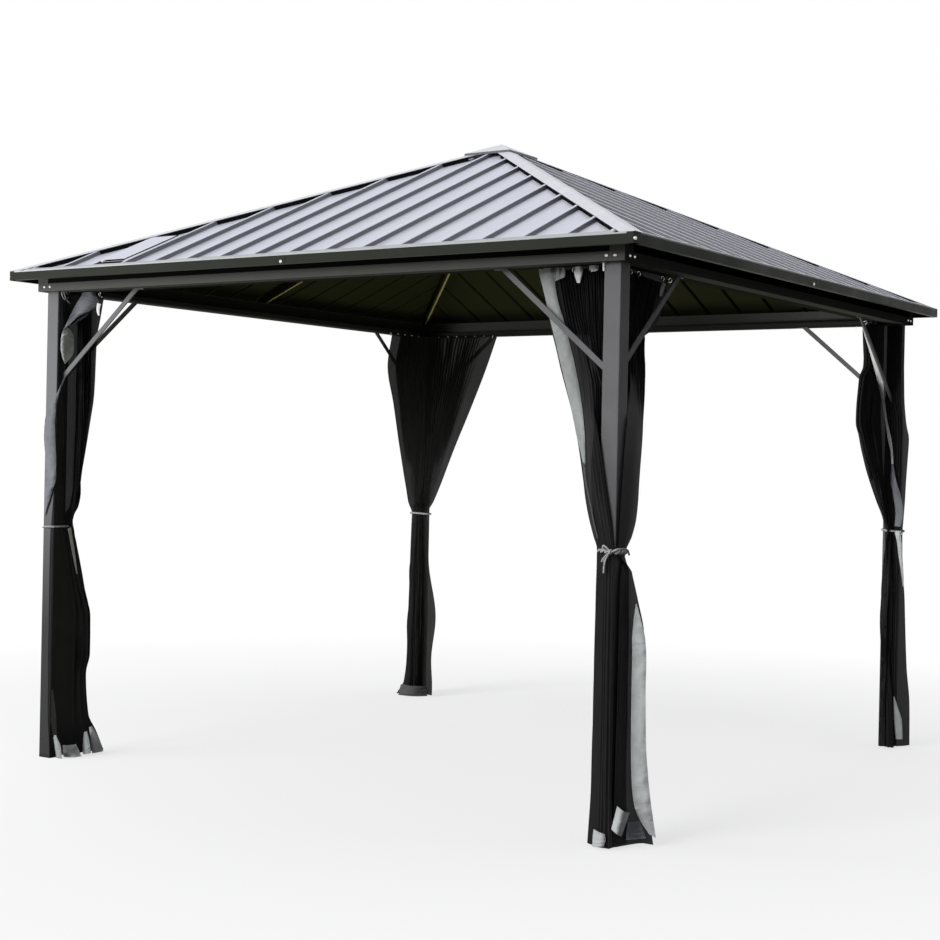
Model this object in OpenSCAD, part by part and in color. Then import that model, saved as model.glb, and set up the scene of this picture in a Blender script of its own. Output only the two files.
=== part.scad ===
// Square garden gazebo: four posts, a beam frame with knee braces, a hipped
// roof of ribbed sheet with one lifted sheet, and a tied-back net curtain at each corner.

/* [Plan] */
// Width of the roof across two opposite fascias
roof_w = 3000; // [2400:10:3600]
// How far the roof edge stands out past the beams
eave_overhang = 88; // [40:1:160]
// Step back from the beam's outer face to the post's outer face
post_setback = 28; // [0:1:50]

/* [Posts and beams] */
// Side of a square post
post_s = 65; // [45:1:100]
// Rounding of a post's long edges
post_r = 4; // [1:0.5:10]
// Height under the beams
clear_h = 1975; // [1850:5:2400]
// Height of a beam
beam_h = 75; // [50:1:110]
// Width of a beam
beam_w = 60; // [45:1:90]
// Height of the foot cap under a post
foot_h = 14; // [6:1:40]
// Step back of the foot cap from the post's faces
foot_step = 1; // [0.5:0.5:4]

/* [Knee braces] */
// Width of the flat brace bar
brace_s = 20; // [15:1:35]
// Thickness of the brace bar, square to the side that it stands in
brace_t = 6; // [3:0.5:25]
// Reach of a brace along the beam, from the post
brace_run = 440; // [250:5:700]
// Drop of a brace down the post, from the beam
brace_drop = 375; // [200:5:600]
// Length of the brace's tab along the beam
tab_l = 46; // [30:1:80]
// Thickness of the brace's tab
tab_t = 4; // [2:0.5:8]

/* [Roof] */
// Height of the eave's top edge over the beams' underside
eave_rise = 81; // [60:1:140]
// Rise of the roof from the eave to the peak of the hips
roof_rise = 647; // [400:1:900]
// Thickness of the roof sheet
sheet_t = 2; // [1:0.5:4]
// Height of a rib over the sheet
rib_h = 18; // [10:1:30]
// Width of a rib
rib_w = 20; // [12:1:30]
// Ribs on each side of the middle one
rib_n = 8; // [4:1:12]
// Distance from the outermost rib to the roof's corner
rib_margin = 112; // [60:1:200]
// Gap between two slopes along the hip
hip_gap = 3; // [1:0.5:8]

/* [Trim] */
// Thickness of the folded trim
trim_t = 2; // [1:0.5:4]
// Height of the fascia's face
fascia_h = 38; // [25:1:80]
// Width of the fascia's flange up the slope, in plan
fascia_flange = 24; // [12:1:50]
// Width of the fascia's return under the eave
fascia_return = 20; // [10:1:40]
// Width of the flat across each eave corner
corner_w = 14; // [8:1:40]
// Reach of a corner cover along each side
cover_w = 35; // [30:1:60]
// Width of each side of a hip cap, in plan
hip_side = 43; // [30:1:80]
// Distance from the peak to a hip cap's upper end
hip_start = 75; // [65:1:110]
// Side of the square cap on the peak
apex_w = 236; // [180:2:320]
// Height of that cap's skirt
apex_skirt = 10; // [5:1:25]

/* [Rafters] */
// Width of a rafter
rafter_w = 28; // [24:1:50]
// Depth of a rafter
rafter_d = 40; // [25:1:70]
// Width of the hub across its flats
hub_w = 150; // [110:2:220]
// Height of the hub
hub_h = 44; // [30:1:80]

/* [Lifted sheet] */
// Width of the loose sheet along the eave
lifted_w = 191.5; // [150:0.5:230]
// Length of the loose sheet up the slope, in plan
lifted_l = 333; // [180:1:420]
// Distance of its lower edge from the eave
lifted_eave = 55; // [30:1:150]
// Cut across its lower left corner
lifted_cut = 42; // [0:1:80]
// Gap between it and the hip cap
lifted_gap = 1; // [0.5:0.5:10]

/* [Curtains] */
// Width of the double curtain rail
rail_w = 56; // [30:1:56]
// Height of the curtain rail
rail_h = 18; // [10:1:30]
// Depth of a hanging curtain's folds
fold_d = 50; // [30:1:70]
// Gap between the curtain and the post
curtain_gap = 7; // [4:1:20]
// Height of the tie
tie_z = 1000; // [700:10:1300]
// Height of the band of cord
tie_h = 34; // [15:1:60]
// Thickness of the cord band
tie_t = 6; // [3:1:12]
// Width of the gathered curtain at the tie
waist_w = 78; // [50:1:120]
// Width of the curtain's spread hem
hem_w = 150; // [90:5:260]

/* [Hidden] */
// Names of the pieces
// Piece to draw
$fn = 24;
half = roof_w / 2;
beam_o = half - eave_overhang;
beam_i = beam_o - beam_w;
post_o = beam_o - post_setback;
post_i = post_o - post_s;
post_c = (post_o + post_i) / 2;
eave_z = clear_h + eave_rise;
slope = roof_rise / half;
pitch = atan(slope);
rib_pitch = (half - rib_margin) / rib_n;
// Distances below the trim's top plane, square to the slope
pan_drop = trim_t + rib_h;
under_drop = pan_drop + sheet_t;
// Depth of the cut at a roof corner, along each side
corner_leg = corner_w / sqrt(2);
corner_in = 2 * half - corner_leg - trim_t * sqrt(2);
// Joint between a fascia and a corner cover
cover_gap = 0.5;
// A hip cap's side measured along the eave
hip_run = hip_side * sqrt(2);
apex_half = apex_w / 2;
rail_i = beam_i - rail_w;
curtain_o = post_i - curtain_gap;
curtain_i = curtain_o - fold_d;
waist_i = curtain_o - waist_w;
hem_i = curtain_o - hem_w;
cut = 5;

// Reach of each curtain past its post, along the two sides that meet there
reach_fr = [318, 470];
reach_br = [240, 130];
reach_bl = [460, 370];
reach_fl = [180, 170];

paint = [0.30, 0.30, 0.31];
beam_paint = [0.36, 0.36, 0.37];
roof_paint = [0.80, 0.80, 0.85];
cap_paint = [0.86, 0.87, 0.91];
eave_paint = [0.17, 0.18, 0.16];
under_paint = [0.22, 0.22, 0.16];
plastic = [0.08, 0.08, 0.08];
net = [0.08, 0.08, 0.09];
cord = [0.62, 0.62, 0.62];

// Height of the trim's top plane at a distance from the roof's middle
function trim_z(d) = eave_z + (half - d) * slope;
// Height of the sheet's underside there
function under_z(d) = trim_z(d) - under_drop / cos(pitch);

// A copy turned from the front, or the front right corner, to side or corner k
module turn(k) rotate([0, 0, 90 * k]) children();

// Front slope axes: x along the eave, y up the slope, z square to it from the trim's top plane
module on_slope() translate([0, -half, eave_z]) rotate([pitch, 0, 0]) children();

// Part of a layer of the front slope, kept over a shape drawn in plan
module slope_part(top, thick) intersection() {
  on_slope() translate([-half, -cut, -top - thick]) cube([2 * half, half / cos(pitch) + 2 * cut, thick]);
  linear_extrude(2 * eave_z) children();
}

module bar(w, h) translate([-w / 2, -w / 2, 0]) cube([w, w, h]);

module round_bar(s, r, h) {
  bar_cut = s - 2 * r;
  translate([-s / 2, -bar_cut / 2, 0]) cube([s, bar_cut, h]);
  translate([-bar_cut / 2, -s / 2, 0]) cube([bar_cut, s, h]);
  for (x = [-1, 1], y = [-1, 1]) translate([x * bar_cut / 2, y * bar_cut / 2, 0]) cylinder(h = h, r = r);
}

module post(k) color(paint) turn(k) translate([post_c, -post_c, foot_h]) round_bar(post_s, post_r, clear_h - foot_h);

module post_feet() color(plastic) for (k = [0:3])
  turn(k) translate([post_c, -post_c, 0]) bar(post_s - 2 * foot_step, foot_h);

module corner_blocks() color(beam_paint) for (k = [0:3])
  turn(k) translate([beam_i, -beam_o, clear_h]) cube([beam_w, beam_w, beam_h]);

module beam(k) color(beam_paint) turn(k) translate([-beam_i, -beam_o, clear_h]) cube([2 * beam_i, beam_w, beam_h]);

module curtain_rails() color(plastic) for (k = [0:3]) {
  end = k % 2 == 0 ? beam_i - 1 : rail_i - 2;
  turn(k) translate([-end, -beam_i, clear_h]) cube([2 * end, rail_w, rail_h]);
}

// Side view of one brace: from the post's face up to the beam, with its tab
module brace_side() {
  a = atan(brace_drop / brace_run);
  polygon([
    [0, -brace_drop], [0, -brace_drop + brace_s / cos(a)],
    [brace_run - brace_s / sin(a), 0], [brace_run + tab_l / 2, 0], [brace_run + tab_l / 2, -tab_t],
    [brace_run - tab_t / tan(a), -tab_t]
  ]);
}

module brace_pair(k) color(paint) turn(k) {
  translate([post_i, -post_c + brace_t / 2, clear_h]) mirror([1, 0, 0]) rotate([90, 0, 0])
    linear_extrude(brace_t) brace_side();
  translate([post_c - brace_t / 2, -post_i, clear_h]) rotate([90, 0, 90]) linear_extrude(brace_t) brace_side();
}

// Side view of a rafter that runs from the hub to its seat on the frame; f scales plan distance to run
module rafter_side(hub, seat, f, low) {
  deep = rafter_d * sqrt(1 + pow(slope / f, 2));
  rest = clear_h + beam_h;
  dr = half - (rest + deep + low + under_drop / cos(pitch) - eave_z) / slope;
  polygon([
    [hub, under_z(hub / f) - low], [seat * f, under_z(seat) - low], [seat * f, rest],
    [dr * f, rest], [hub, under_z(hub / f) - low - deep]
  ]);
}

module rafter(f, low) rotate([90, 0, 0]) translate([0, 0, -rafter_w / 2])
  linear_extrude(rafter_w) rafter_side(hub_w / 2, beam_o - 8, f, low);

module hip_rafter(k) color(under_paint) turn(k) rotate([0, 0, -45])
  rafter(sqrt(2), rafter_w / 2 / sqrt(2) * slope);

module mid_rafters() color(under_paint) for (k = [0:3]) turn(k) rotate([0, 0, -90]) rafter(1, 0);

module rafter_hub() color(under_paint) {
  top = under_z(hub_w / 2) - 4;
  translate([0, 0, top - hub_h]) rotate([0, 0, 22.5]) cylinder(h = hub_h, r = hub_w / 2 / cos(22.5), $fn = 8);
}

// Cross-section of the ribbed sheet, with each rib hollow below
module ribbed() difference() {
  union() {
    translate([-half, 0]) square([2 * half, sheet_t]);
    for (i = [-rib_n:rib_n]) translate([i * rib_pitch - rib_w / 2, 0]) square([rib_w, sheet_t + rib_h]);
  }
  for (i = [-rib_n:rib_n]) translate([i * rib_pitch - rib_w / 2 + sheet_t, -cut])
    square([rib_w - 2 * sheet_t, rib_h + cut]);
}

// Plan of one slope: a triangle with its two eave corners cut off
module slope_plan() {
  e = half - trim_t;
  g = hip_gap / sqrt(2);
  polygon([
    [-(corner_in - e), -e], [corner_in - e, -e], [(corner_in - g) / 2, -(corner_in + g) / 2],
    [0, -g], [-(corner_in - g) / 2, -(corner_in + g) / 2]
  ]);
}

module roof_slope(k) color(roof_paint) turn(k) intersection() {
  on_slope() translate([0, half / cos(pitch) + cut, -under_drop]) rotate([90, 0, 0])
    linear_extrude(half / cos(pitch) + 2 * cut) ribbed();
  linear_extrude(2 * eave_z) slope_plan();
}

// Plan of a hip cap's side that lies on the front slope
module hip_plan() {
  e = half - trim_t - 1;
  c = corner_in - 1;
  polygon([
    [hip_start - hip_run, -hip_start], [hip_start, -hip_start], [c / 2, -c / 2], [c - e, -e], [e - hip_run, -e]
  ]);
}

module hip_cap(k) color(cap_paint) turn(k) {
  slope_part(0, trim_t) hip_plan();
  mirror([1, 1, 0]) slope_part(0, trim_t) hip_plan();
}

// Square pyramid with the roof's pitch, point up at height z
module peak(a, z) translate([0, 0, z - a * slope]) rotate([0, 0, 45])
  cylinder(h = a * slope, r1 = a * sqrt(2), r2 = 0, $fn = 4);

module apex_cap() color(cap_paint) {
  base = trim_z(apex_half);
  difference() {
    union() {
      translate([0, 0, base]) bar(apex_w, apex_skirt);
      peak(apex_half, trim_z(0) + apex_skirt);
    }
    translate([0, 0, base - cut]) bar(apex_w - 2 * trim_t, apex_skirt - trim_t + cut);
    peak(apex_half - trim_t, trim_z(0) + apex_skirt - trim_t);
  }
}

// Cross-section of the fascia: outward distance, height; the flange is left out where the hip caps lie
module fascia_leg() polygon([
  [half, eave_z - fascia_h], [half, eave_z], [half - trim_t, eave_z + trim_t * slope],
  [half - trim_t, eave_z - fascia_h + trim_t], [half - fascia_return, eave_z - fascia_h + trim_t],
  [half - fascia_return, eave_z - fascia_h]
]);

module fascia(k) color(eave_paint) turn(k) {
  intersection() {
    translate([-half, 0, 0]) rotate([90, 0, 90]) linear_extrude(2 * half) mirror([1, 0]) fascia_leg();
    fascia_end = half - cover_w - cover_gap;
    translate([-fascia_end, -half, 0]) cube([2 * fascia_end, half, 2 * eave_z]);
  }
  flange_end = half - hip_run - trim_t - fascia_flange - 1;
  slope_part(0, trim_t) translate([-flange_end, -half + trim_t / 2])
    square([2 * flange_end, fascia_flange - trim_t / 2]);
}

// Cover folded round an eave corner, with a narrow flat across it
module corner_plates() color(eave_paint) for (k = [0:3]) turn(k) translate([half, -half, eave_z - fascia_h])
  linear_extrude(fascia_h) {
    bend = corner_leg + trim_t * tan(22.5);
    polygon([
      [-cover_w, 0], [-corner_leg, 0], [0, corner_leg], [0, cover_w],
      [-trim_t, cover_w], [-trim_t, bend], [-bend, trim_t], [-cover_w, trim_t]
    ]);
  }

// The loose sheet lies on two ribs of the front slope and ends at the left hip's cap
module lifted_sheet() color(roof_paint) {
  right = -5.5 * rib_pitch + lifted_w / 2;
  left = right - lifted_w;
  low = -half + lifted_eave;
  side = hip_run + lifted_gap;
  slope_part(0, trim_t) intersection() {
    polygon([
      [right, low], [right, low + lifted_l], [left, low + lifted_l], [left, low + lifted_cut], [left + lifted_cut, low]
    ]);
    polygon([[side - half, -half], [0, -half], [0, -side]]);
  }
}

// A block given by its reach in from two curtain faces and its heights
module block(x0, x1, y0, y1, z0, z1) translate([x0, -y1, z0]) cube([x1 - x0, y1 - y0, z1 - z0]);

// The gathered curtain over part of the tie's height
module waist(z0, z1) block(waist_i, curtain_o, waist_i, curtain_o, tie_z + z0, tie_z + z1);

module curtain(k, reach) color(net) turn(k) {
  waist(-tie_h, tie_h);
  hull() {
    block(post_i - reach[0], curtain_o, curtain_i, curtain_o, clear_h - 30, clear_h);
    waist(tie_h - 1, tie_h);
  }
  hull() {
    block(curtain_i, curtain_o, post_i - reach[1], curtain_o, clear_h - 30, clear_h);
    waist(tie_h - 1, tie_h);
  }
  hull() {
    waist(-tie_h, 1 - tie_h);
    block(hem_i, curtain_o, hem_i, curtain_o, 0, 40);
  }
}

module tie_cords() color(cord) for (k = [0:3]) turn(k) difference() {
  block(waist_i - tie_t, post_o + tie_t, waist_i - tie_t, post_o + tie_t, tie_z - tie_h / 2, tie_z + tie_h / 2);
  block(waist_i, post_o, waist_i, post_o, tie_z - tie_h, tie_z + tie_h);
}

post(0);  // post_front_right
post(1);  // post_back_right
post(2);  // post_back_left
post(3);  // post_front_left
post_feet();
corner_blocks();
beam(0);  // beam_front
beam(1);  // beam_right
beam(2);  // beam_back
beam(3);  // beam_left
curtain_rails();
brace_pair(0);  // braces_front_right
brace_pair(1);  // braces_back_right
brace_pair(2);  // braces_back_left
brace_pair(3);  // braces_front_left
hip_rafter(0);  // hip_rafter_front_right
hip_rafter(1);  // hip_rafter_back_right
hip_rafter(2);  // hip_rafter_back_left
hip_rafter(3);  // hip_rafter_front_left
mid_rafters();
rafter_hub();
roof_slope(0);  // roof_slope_front
roof_slope(1);  // roof_slope_right
roof_slope(2);  // roof_slope_back
roof_slope(3);  // roof_slope_left
hip_cap(0);  // hip_cap_front_right
hip_cap(1);  // hip_cap_back_right
hip_cap(2);  // hip_cap_back_left
hip_cap(3);  // hip_cap_front_left
apex_cap();
fascia(0);  // fascia_front
fascia(1);  // fascia_right
fascia(2);  // fascia_back
fascia(3);  // fascia_left
corner_plates();
lifted_sheet();
curtain(0, reach_fr);  // curtain_front_right
curtain(1, reach_br);  // curtain_back_right
curtain(2, reach_bl);  // curtain_back_left
curtain(3, reach_fl);  // curtain_front_left
tie_cords();
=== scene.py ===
"""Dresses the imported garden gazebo: steel frame, ribbed roof, trim, tied-back net curtains and fittings."""

import math

import bmesh
import bpy
from bpy.props import FloatProperty, FloatVectorProperty, IntProperty, PointerProperty
from mathutils import Matrix, Vector, noise
from mathutils.bvhtree import BVHTree


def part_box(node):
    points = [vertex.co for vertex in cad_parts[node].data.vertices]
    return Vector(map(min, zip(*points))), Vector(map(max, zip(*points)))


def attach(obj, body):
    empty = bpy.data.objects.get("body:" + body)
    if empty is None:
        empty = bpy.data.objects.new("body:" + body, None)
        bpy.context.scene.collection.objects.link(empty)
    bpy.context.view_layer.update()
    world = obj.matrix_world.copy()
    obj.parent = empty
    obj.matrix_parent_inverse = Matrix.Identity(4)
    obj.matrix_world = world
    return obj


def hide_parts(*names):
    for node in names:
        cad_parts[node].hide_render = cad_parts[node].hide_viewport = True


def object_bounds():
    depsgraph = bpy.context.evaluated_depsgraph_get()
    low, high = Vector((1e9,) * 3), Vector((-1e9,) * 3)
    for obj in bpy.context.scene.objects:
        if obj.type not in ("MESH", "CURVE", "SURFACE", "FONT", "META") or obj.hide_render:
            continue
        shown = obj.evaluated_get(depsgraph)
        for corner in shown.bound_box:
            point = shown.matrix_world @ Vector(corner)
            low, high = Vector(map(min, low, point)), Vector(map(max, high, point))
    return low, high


bl_info = {
    "name": "Garden gazebo dressing",
    "version": (1, 0, 0),
    "blender": (4, 5, 0),
    "location": "View3D > Sidebar > Gazebo",
    "description": "Builds the roof, trim, curtains and finishes of a square gazebo on its packed frame",
    "category": "Object",
}

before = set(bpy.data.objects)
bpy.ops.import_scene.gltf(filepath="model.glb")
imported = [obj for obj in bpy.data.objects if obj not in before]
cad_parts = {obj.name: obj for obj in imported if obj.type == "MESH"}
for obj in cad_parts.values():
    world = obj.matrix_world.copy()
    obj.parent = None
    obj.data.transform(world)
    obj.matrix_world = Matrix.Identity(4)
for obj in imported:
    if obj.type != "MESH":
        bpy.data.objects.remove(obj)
CAD_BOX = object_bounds()

# Main heights and reaches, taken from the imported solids
HALF = CAD_BOX[1][0]
FASCIA_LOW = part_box("fascia_front")[0][2]
FASCIA_TALL = 0.038
EAVE_Z = FASCIA_LOW + FASCIA_TALL
BEAM_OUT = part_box("corner_blocks")[1][0]
BEAM_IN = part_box("beam_front")[1][0]
BEAM_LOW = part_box("beam_front")[0][2]
BEAM_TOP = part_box("beam_front")[1][2]
BEAM_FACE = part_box("beam_front")[0][1]
TIE_Z = (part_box("tie_cords")[0][2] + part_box("tie_cords")[1][2]) / 2

# Leg of the eave's cut corner, depth of the fascia's pale lip (a painted highlight on its top), and heights
# between which a post grows paler
CORNER_LEG = 0.0099
LIP_DEPTH = 0.0050
FOOT_LOW, FOOT_HIGH = 0.55, 1.45

# The photograph's camera: focal length and middle in its pixels, place, azimuth, pitch and roll in degrees
PHOTO_FOCAL = 1719.55
PHOTO_MIDDLE = 470.0
LOOK_FROM = Vector((4.178, -6.461, 1.292))
AZIMUTH, PITCH, ROLL = (math.radians(a) for a in (33.709, -0.2754, 1.1888))
LOOK_AHEAD = Vector((
    -math.sin(AZIMUTH) * math.cos(PITCH), math.cos(AZIMUTH) * math.cos(PITCH), math.sin(PITCH),
))
LEVEL = Vector((math.cos(AZIMUTH), math.sin(AZIMUTH), 0.0))
LOOK_RIGHT = math.cos(ROLL) * LEVEL + math.sin(ROLL) * LEVEL.cross(LOOK_AHEAD)
LOOK_UP = math.cos(ROLL) * LEVEL.cross(LOOK_AHEAD) - math.sin(ROLL) * LEVEL

CORNERS = ("front_right", "back_right", "back_left", "front_left")
SIDES = ("front", "right", "back", "left")


# Properties

def colour(name, description, default):
    return FloatVectorProperty(
        name=name, description=description, default=default, subtype="COLOR", size=3, min=0.0, max=1.0,
    )


def length(name, description, default):
    return FloatProperty(
        name=name, description=description, default=default, unit="LENGTH", subtype="DISTANCE", min=0.0,
    )


class GazeboSizes(bpy.types.PropertyGroup):
    """Sizes of the dressed pieces that a user would change"""
    roof_half: length("Roof half width", "From the middle of the roof to a fascia's face", HALF)
    eave_height: length("Eave height", "Top edge of the eave trim", EAVE_Z)
    roof_rise: length("Roof rise", "From the eave's top edge to the meeting point of the hips", 0.647)
    rib_pitch: length("Rib pitch", "Distance between two ribs of the roof sheet", 0.1735)
    rib_width: length("Rib width", "Width of a rib at its foot", 0.020)
    rib_height: length("Rib height", "Height of a rib over the sheet", 0.018)
    sheet_gauge: length("Sheet thickness", "Thickness of the painted roof sheet", 0.0015)
    net_width: length("Curtain width", "Flat width of one curtain before it was gathered", 2.6)
    net_drop: length("Curtain drop", "Flat height of one curtain", 1.95)
    pleats: IntProperty(name="Pleats", description="Folds across one curtain", default=44, min=6, max=80)


class GazeboColours(bpy.types.PropertyGroup):
    """Finishes of the gazebo"""
    post: colour("Post paint", "Powder coat of the posts and braces", (0.140, 0.141, 0.147))
    beam: colour("Beam paint", "Powder coat of the beams", (0.105, 0.107, 0.101))
    # Roof and cap paint are pale lilac grey: the sheet's own paint lightened by a painted reflection of the
    # sky
    roof: colour("Roof paint", "Outside of the roof sheet", (0.70, 0.72, 0.815))
    # Underside: dark olive that is painted shade under the roof, tinted with painted green light reflected
    # from the ground
    under: colour("Underside", "Inside of the roof sheet and the rafters", (0.037, 0.040, 0.020))
    cap: colour("Cap paint", "Hip caps and peak cap", (0.74, 0.755, 0.815))
    fascia: colour("Fascia paint", "Trim round the eave", (0.0190, 0.0225, 0.0165))
    # Pale eave lip: a painted highlight along the dark fascia's top, where it faces the sky
    lip: colour("Eave lip", "Pale folded lip over the fascia", (0.50, 0.52, 0.53))
    # Yellow-olive lower rafter edge: painted light, the ground's yellow-green glow reflected onto the rafters
    rafter_lip: colour("Rafter lip", "Lower flange of a rafter", (0.62, 0.57, 0.27))
    net: colour("Net", "Fine net of the curtains", (0.0115, 0.0115, 0.0120))
    # Tape finishes are lit and shaded copies of one binding: the lightest paints light falling on it, the
    # darker ones painted shade, the darkest also dirt
    binding: colour("Binding", "Woven binding and hem of the curtains", (0.355, 0.375, 0.370))
    clean: colour("Clean binding", "Binding where it is cleanest", (0.51, 0.53, 0.535))
    dull: colour("Dull binding", "Binding that is dusty and creased", (0.165, 0.170, 0.190))
    soiled: colour("Soiled binding", "Binding that is dirty or half covered by net", (0.085, 0.088, 0.086))
    cord: colour("Cord", "Tie cord", (0.45, 0.45, 0.46))
    # The strap's white also paints lit hem patches at the left curtain's foot
    strap: colour("Strap", "White strap and hooks at the curtain heading", (0.78, 0.78, 0.79))
    plastic: colour("Plastic", "Rail and foot caps", (0.030, 0.030, 0.031))
    steel: colour("Bolt steel", "Plated bolts and hooks", (0.70, 0.70, 0.68))
    floor: colour("Floor", "Pale studio floor", (0.93, 0.93, 0.93))


# Small helpers

def turned(k):
    """A quarter turn about the middle, from the front to side or corner k."""
    return Matrix.Rotation(math.radians(90 * k), 4, "Z")


def finish_piece(name, bm, materials, stands_for=(), smooth=False):
    """Makes the mesh an object that rides on the frame."""
    if smooth:
        for face in bm.faces:
            face.smooth = True
    mesh = bpy.data.meshes.new(name)
    bm.to_mesh(mesh)
    bm.free()
    obj = bpy.data.objects.new(name, mesh)
    bpy.context.scene.collection.objects.link(obj)
    for material in materials:
        mesh.materials.append(material)
    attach(obj, "root")
    if stands_for:
        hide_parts(*stands_for)
    return obj


def soften(obj, width):
    """A live bevel on the folded edges."""
    bevel = obj.modifiers.new("Softened edges", "BEVEL")
    bevel.width = width
    bevel.segments = 2
    bevel.limit_method = "ANGLE"
    bevel.angle_limit = math.radians(30)
    bevel.harden_normals = False


def thicken(obj, gauge, offset=-1.0):
    """Gives a sheet its thickness."""
    wall = obj.modifiers.new("Sheet thickness", "SOLIDIFY")
    wall.thickness = gauge
    wall.offset = offset
    return wall


def line_under(obj, gauge):
    """Gives a roof sheet its thickness, with its second material on the underside."""
    wall = thicken(obj, gauge)
    wall.material_offset = 1
    wall.material_offset_rim = 0


def add_block(bm, low, high, place):
    """A block between two corners, put in its place."""
    low, high = Vector(low), Vector(high)
    verts = bmesh.ops.create_cube(bm, size=1.0)["verts"]
    bmesh.ops.scale(bm, vec=high - low, verts=verts)
    bmesh.ops.translate(bm, vec=(low + high) / 2, verts=verts)
    bmesh.ops.transform(bm, matrix=place, verts=verts)


def draw_out(bm, edges, by):
    """Draws edges out into faces and returns the corners at the far end."""
    made = bmesh.ops.extrude_edge_only(bm, edges=edges)
    ends = [g for g in made["geom"] if isinstance(g, bmesh.types.BMVert)]
    bmesh.ops.translate(bm, vec=by, verts=ends)
    return ends


def cut_off(bm, spot, way):
    """Cuts away all that lies beyond a plane."""
    geom = bm.verts[:] + bm.edges[:] + bm.faces[:]
    bmesh.ops.bisect_plane(bm, geom=geom, dist=1e-6, plane_co=spot, plane_no=way, clear_outer=True)


def face_up(bm):
    """Turns the faces of an open sheet to look upwards."""
    bmesh.ops.recalc_face_normals(bm, faces=bm.faces[:])
    if bm.faces[:][0].normal.z < 0:
        bmesh.ops.reverse_faces(bm, faces=bm.faces[:])


def add_outline(bm, points, depth, place):
    """A flat outline drawn in the XZ plane, drawn out along Y."""
    verts = [bm.verts.new((x, 0.0, z)) for x, z in points]
    face = bm.faces.new(verts)
    pushed = bmesh.ops.extrude_face_region(bm, geom=[face])
    ends = [g for g in pushed["geom"] if isinstance(g, bmesh.types.BMVert)]
    bmesh.ops.translate(bm, vec=(0.0, depth, 0.0), verts=ends)
    bmesh.ops.transform(bm, matrix=place, verts=verts + ends)
    faces = list({f for v in verts + ends for f in v.link_faces})
    bmesh.ops.recalc_face_normals(bm, faces=faces)


def add_turning(bm, profile, at, axis, steps=12):
    """A turned shape: the profile (radius, height) spun about an axis that stands at a point."""
    verts = [bm.verts.new((r, 0.0, h)) for r, h in profile]
    edges = [bm.edges.new(pair) for pair in zip(verts, verts[1:])]
    known = set(bm.verts) - set(verts)
    geom = verts + edges
    bmesh.ops.spin(
        bm, geom=geom, cent=(0, 0, 0), axis=(0, 0, 1), angle=math.tau, steps=steps, use_merge=True,
    )
    made = [v for v in bm.verts if v not in known]
    bmesh.ops.remove_doubles(bm, verts=made, dist=1e-6)
    made = [v for v in bm.verts if v not in known]
    bmesh.ops.recalc_face_normals(bm, faces=list({f for v in made for f in v.link_faces}))
    turn = Vector((0, 0, 1)).rotation_difference(Vector(axis)).to_matrix().to_4x4()
    bmesh.ops.transform(bm, matrix=Matrix.Translation(Vector(at)) @ turn, verts=made)


def add_wire(bm, points, radius, closed=False):
    """A round wire or strand along a line of points."""
    line = bpy.data.curves.new("strand", "CURVE")
    line.dimensions = "3D"
    line.bevel_depth = radius
    line.bevel_resolution = 1
    line.use_fill_caps = True
    spline = line.splines.new("POLY")
    spline.points.add(len(points) - 1)
    for spot, point in zip(spline.points, points):
        spot.co = (point[0], point[1], point[2], 1.0)
    spline.use_cyclic_u = closed
    holder = bpy.data.objects.new("strand", line)
    mesh = bpy.data.meshes.new_from_object(holder)
    bm.from_mesh(mesh)
    bpy.data.objects.remove(holder)
    bpy.data.curves.remove(line)
    bpy.data.meshes.remove(mesh)


def through(knots, values):
    """A smooth curve through values at rising knots that never overshoots them."""
    steps = [b - a for a, b in zip(knots, knots[1:])]
    rises = [(b - a) / s for a, b, s in zip(values, values[1:], steps)]
    leans = [rises[0]] + [0.0] * (len(knots) - 2) + [rises[-1]]
    for i in range(1, len(knots) - 1):
        if rises[i - 1] * rises[i] > 0:
            near, far = 2 * steps[i] + steps[i - 1], steps[i] + 2 * steps[i - 1]
            leans[i] = (near + far) / (near / rises[i - 1] + far / rises[i])

    def at(x):
        x = min(max(x, knots[0]), knots[-1])
        i = 0
        while i < len(steps) - 1 and x > knots[i + 1]:
            i += 1
        t = (x - knots[i]) / steps[i]
        return (
            values[i] * (1 + 2 * t) * (1 - t) ** 2 + leans[i] * steps[i] * t * (1 - t) ** 2
            + values[i + 1] * t * t * (3 - 2 * t) + leans[i + 1] * steps[i] * t * t * (t - 1)
        )

    return at


# Shader groups

def new_group(name, inputs, outputs):
    tree = bpy.data.node_groups.new(name, "ShaderNodeTree")
    for label, kind, default in inputs:
        socket = tree.interface.new_socket(name=label, in_out="INPUT", socket_type=kind)
        if default is not None:
            socket.default_value = default
    for label, kind in outputs:
        tree.interface.new_socket(name=label, in_out="OUTPUT", socket_type=kind)
    return tree, tree.nodes.new("NodeGroupInput"), tree.nodes.new("NodeGroupOutput")


def feed(tree, node, links):
    """Links each named input to a socket, or sets it to a plain value."""
    for key, value in links.items():
        if isinstance(value, bpy.types.NodeSocket):
            tree.links.new(value, node.inputs[key])
        else:
            node.inputs[key].default_value = value


def add(tree, kind, links=None, **settings):
    """A node with its settings and inputs."""
    node = tree.nodes.new(kind)
    for key, value in settings.items():
        setattr(node, key, value)
    feed(tree, node, links or {})
    return node


def use_group(tree, group, links):
    """A group placed in a material; returns its outputs."""
    return add(tree, "ShaderNodeGroup", links, node_tree=group).outputs


def maths(tree, operation, *values):
    return add(tree, "ShaderNodeMath", dict(enumerate(values)), operation=operation).outputs[0]


def parts_of(tree, vector):
    return add(tree, "ShaderNodeSeparateXYZ", {"Vector": vector}).outputs


def span(tree, value, low, high, to_low=0.0, to_high=1.0):
    """A value between low and high, moved to another range and held inside it."""
    links = {"Value": value, "From Min": low, "From Max": high, "To Min": to_low, "To Max": to_high}
    return add(tree, "ShaderNodeMapRange", links, clamp=True).outputs["Result"]


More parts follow.
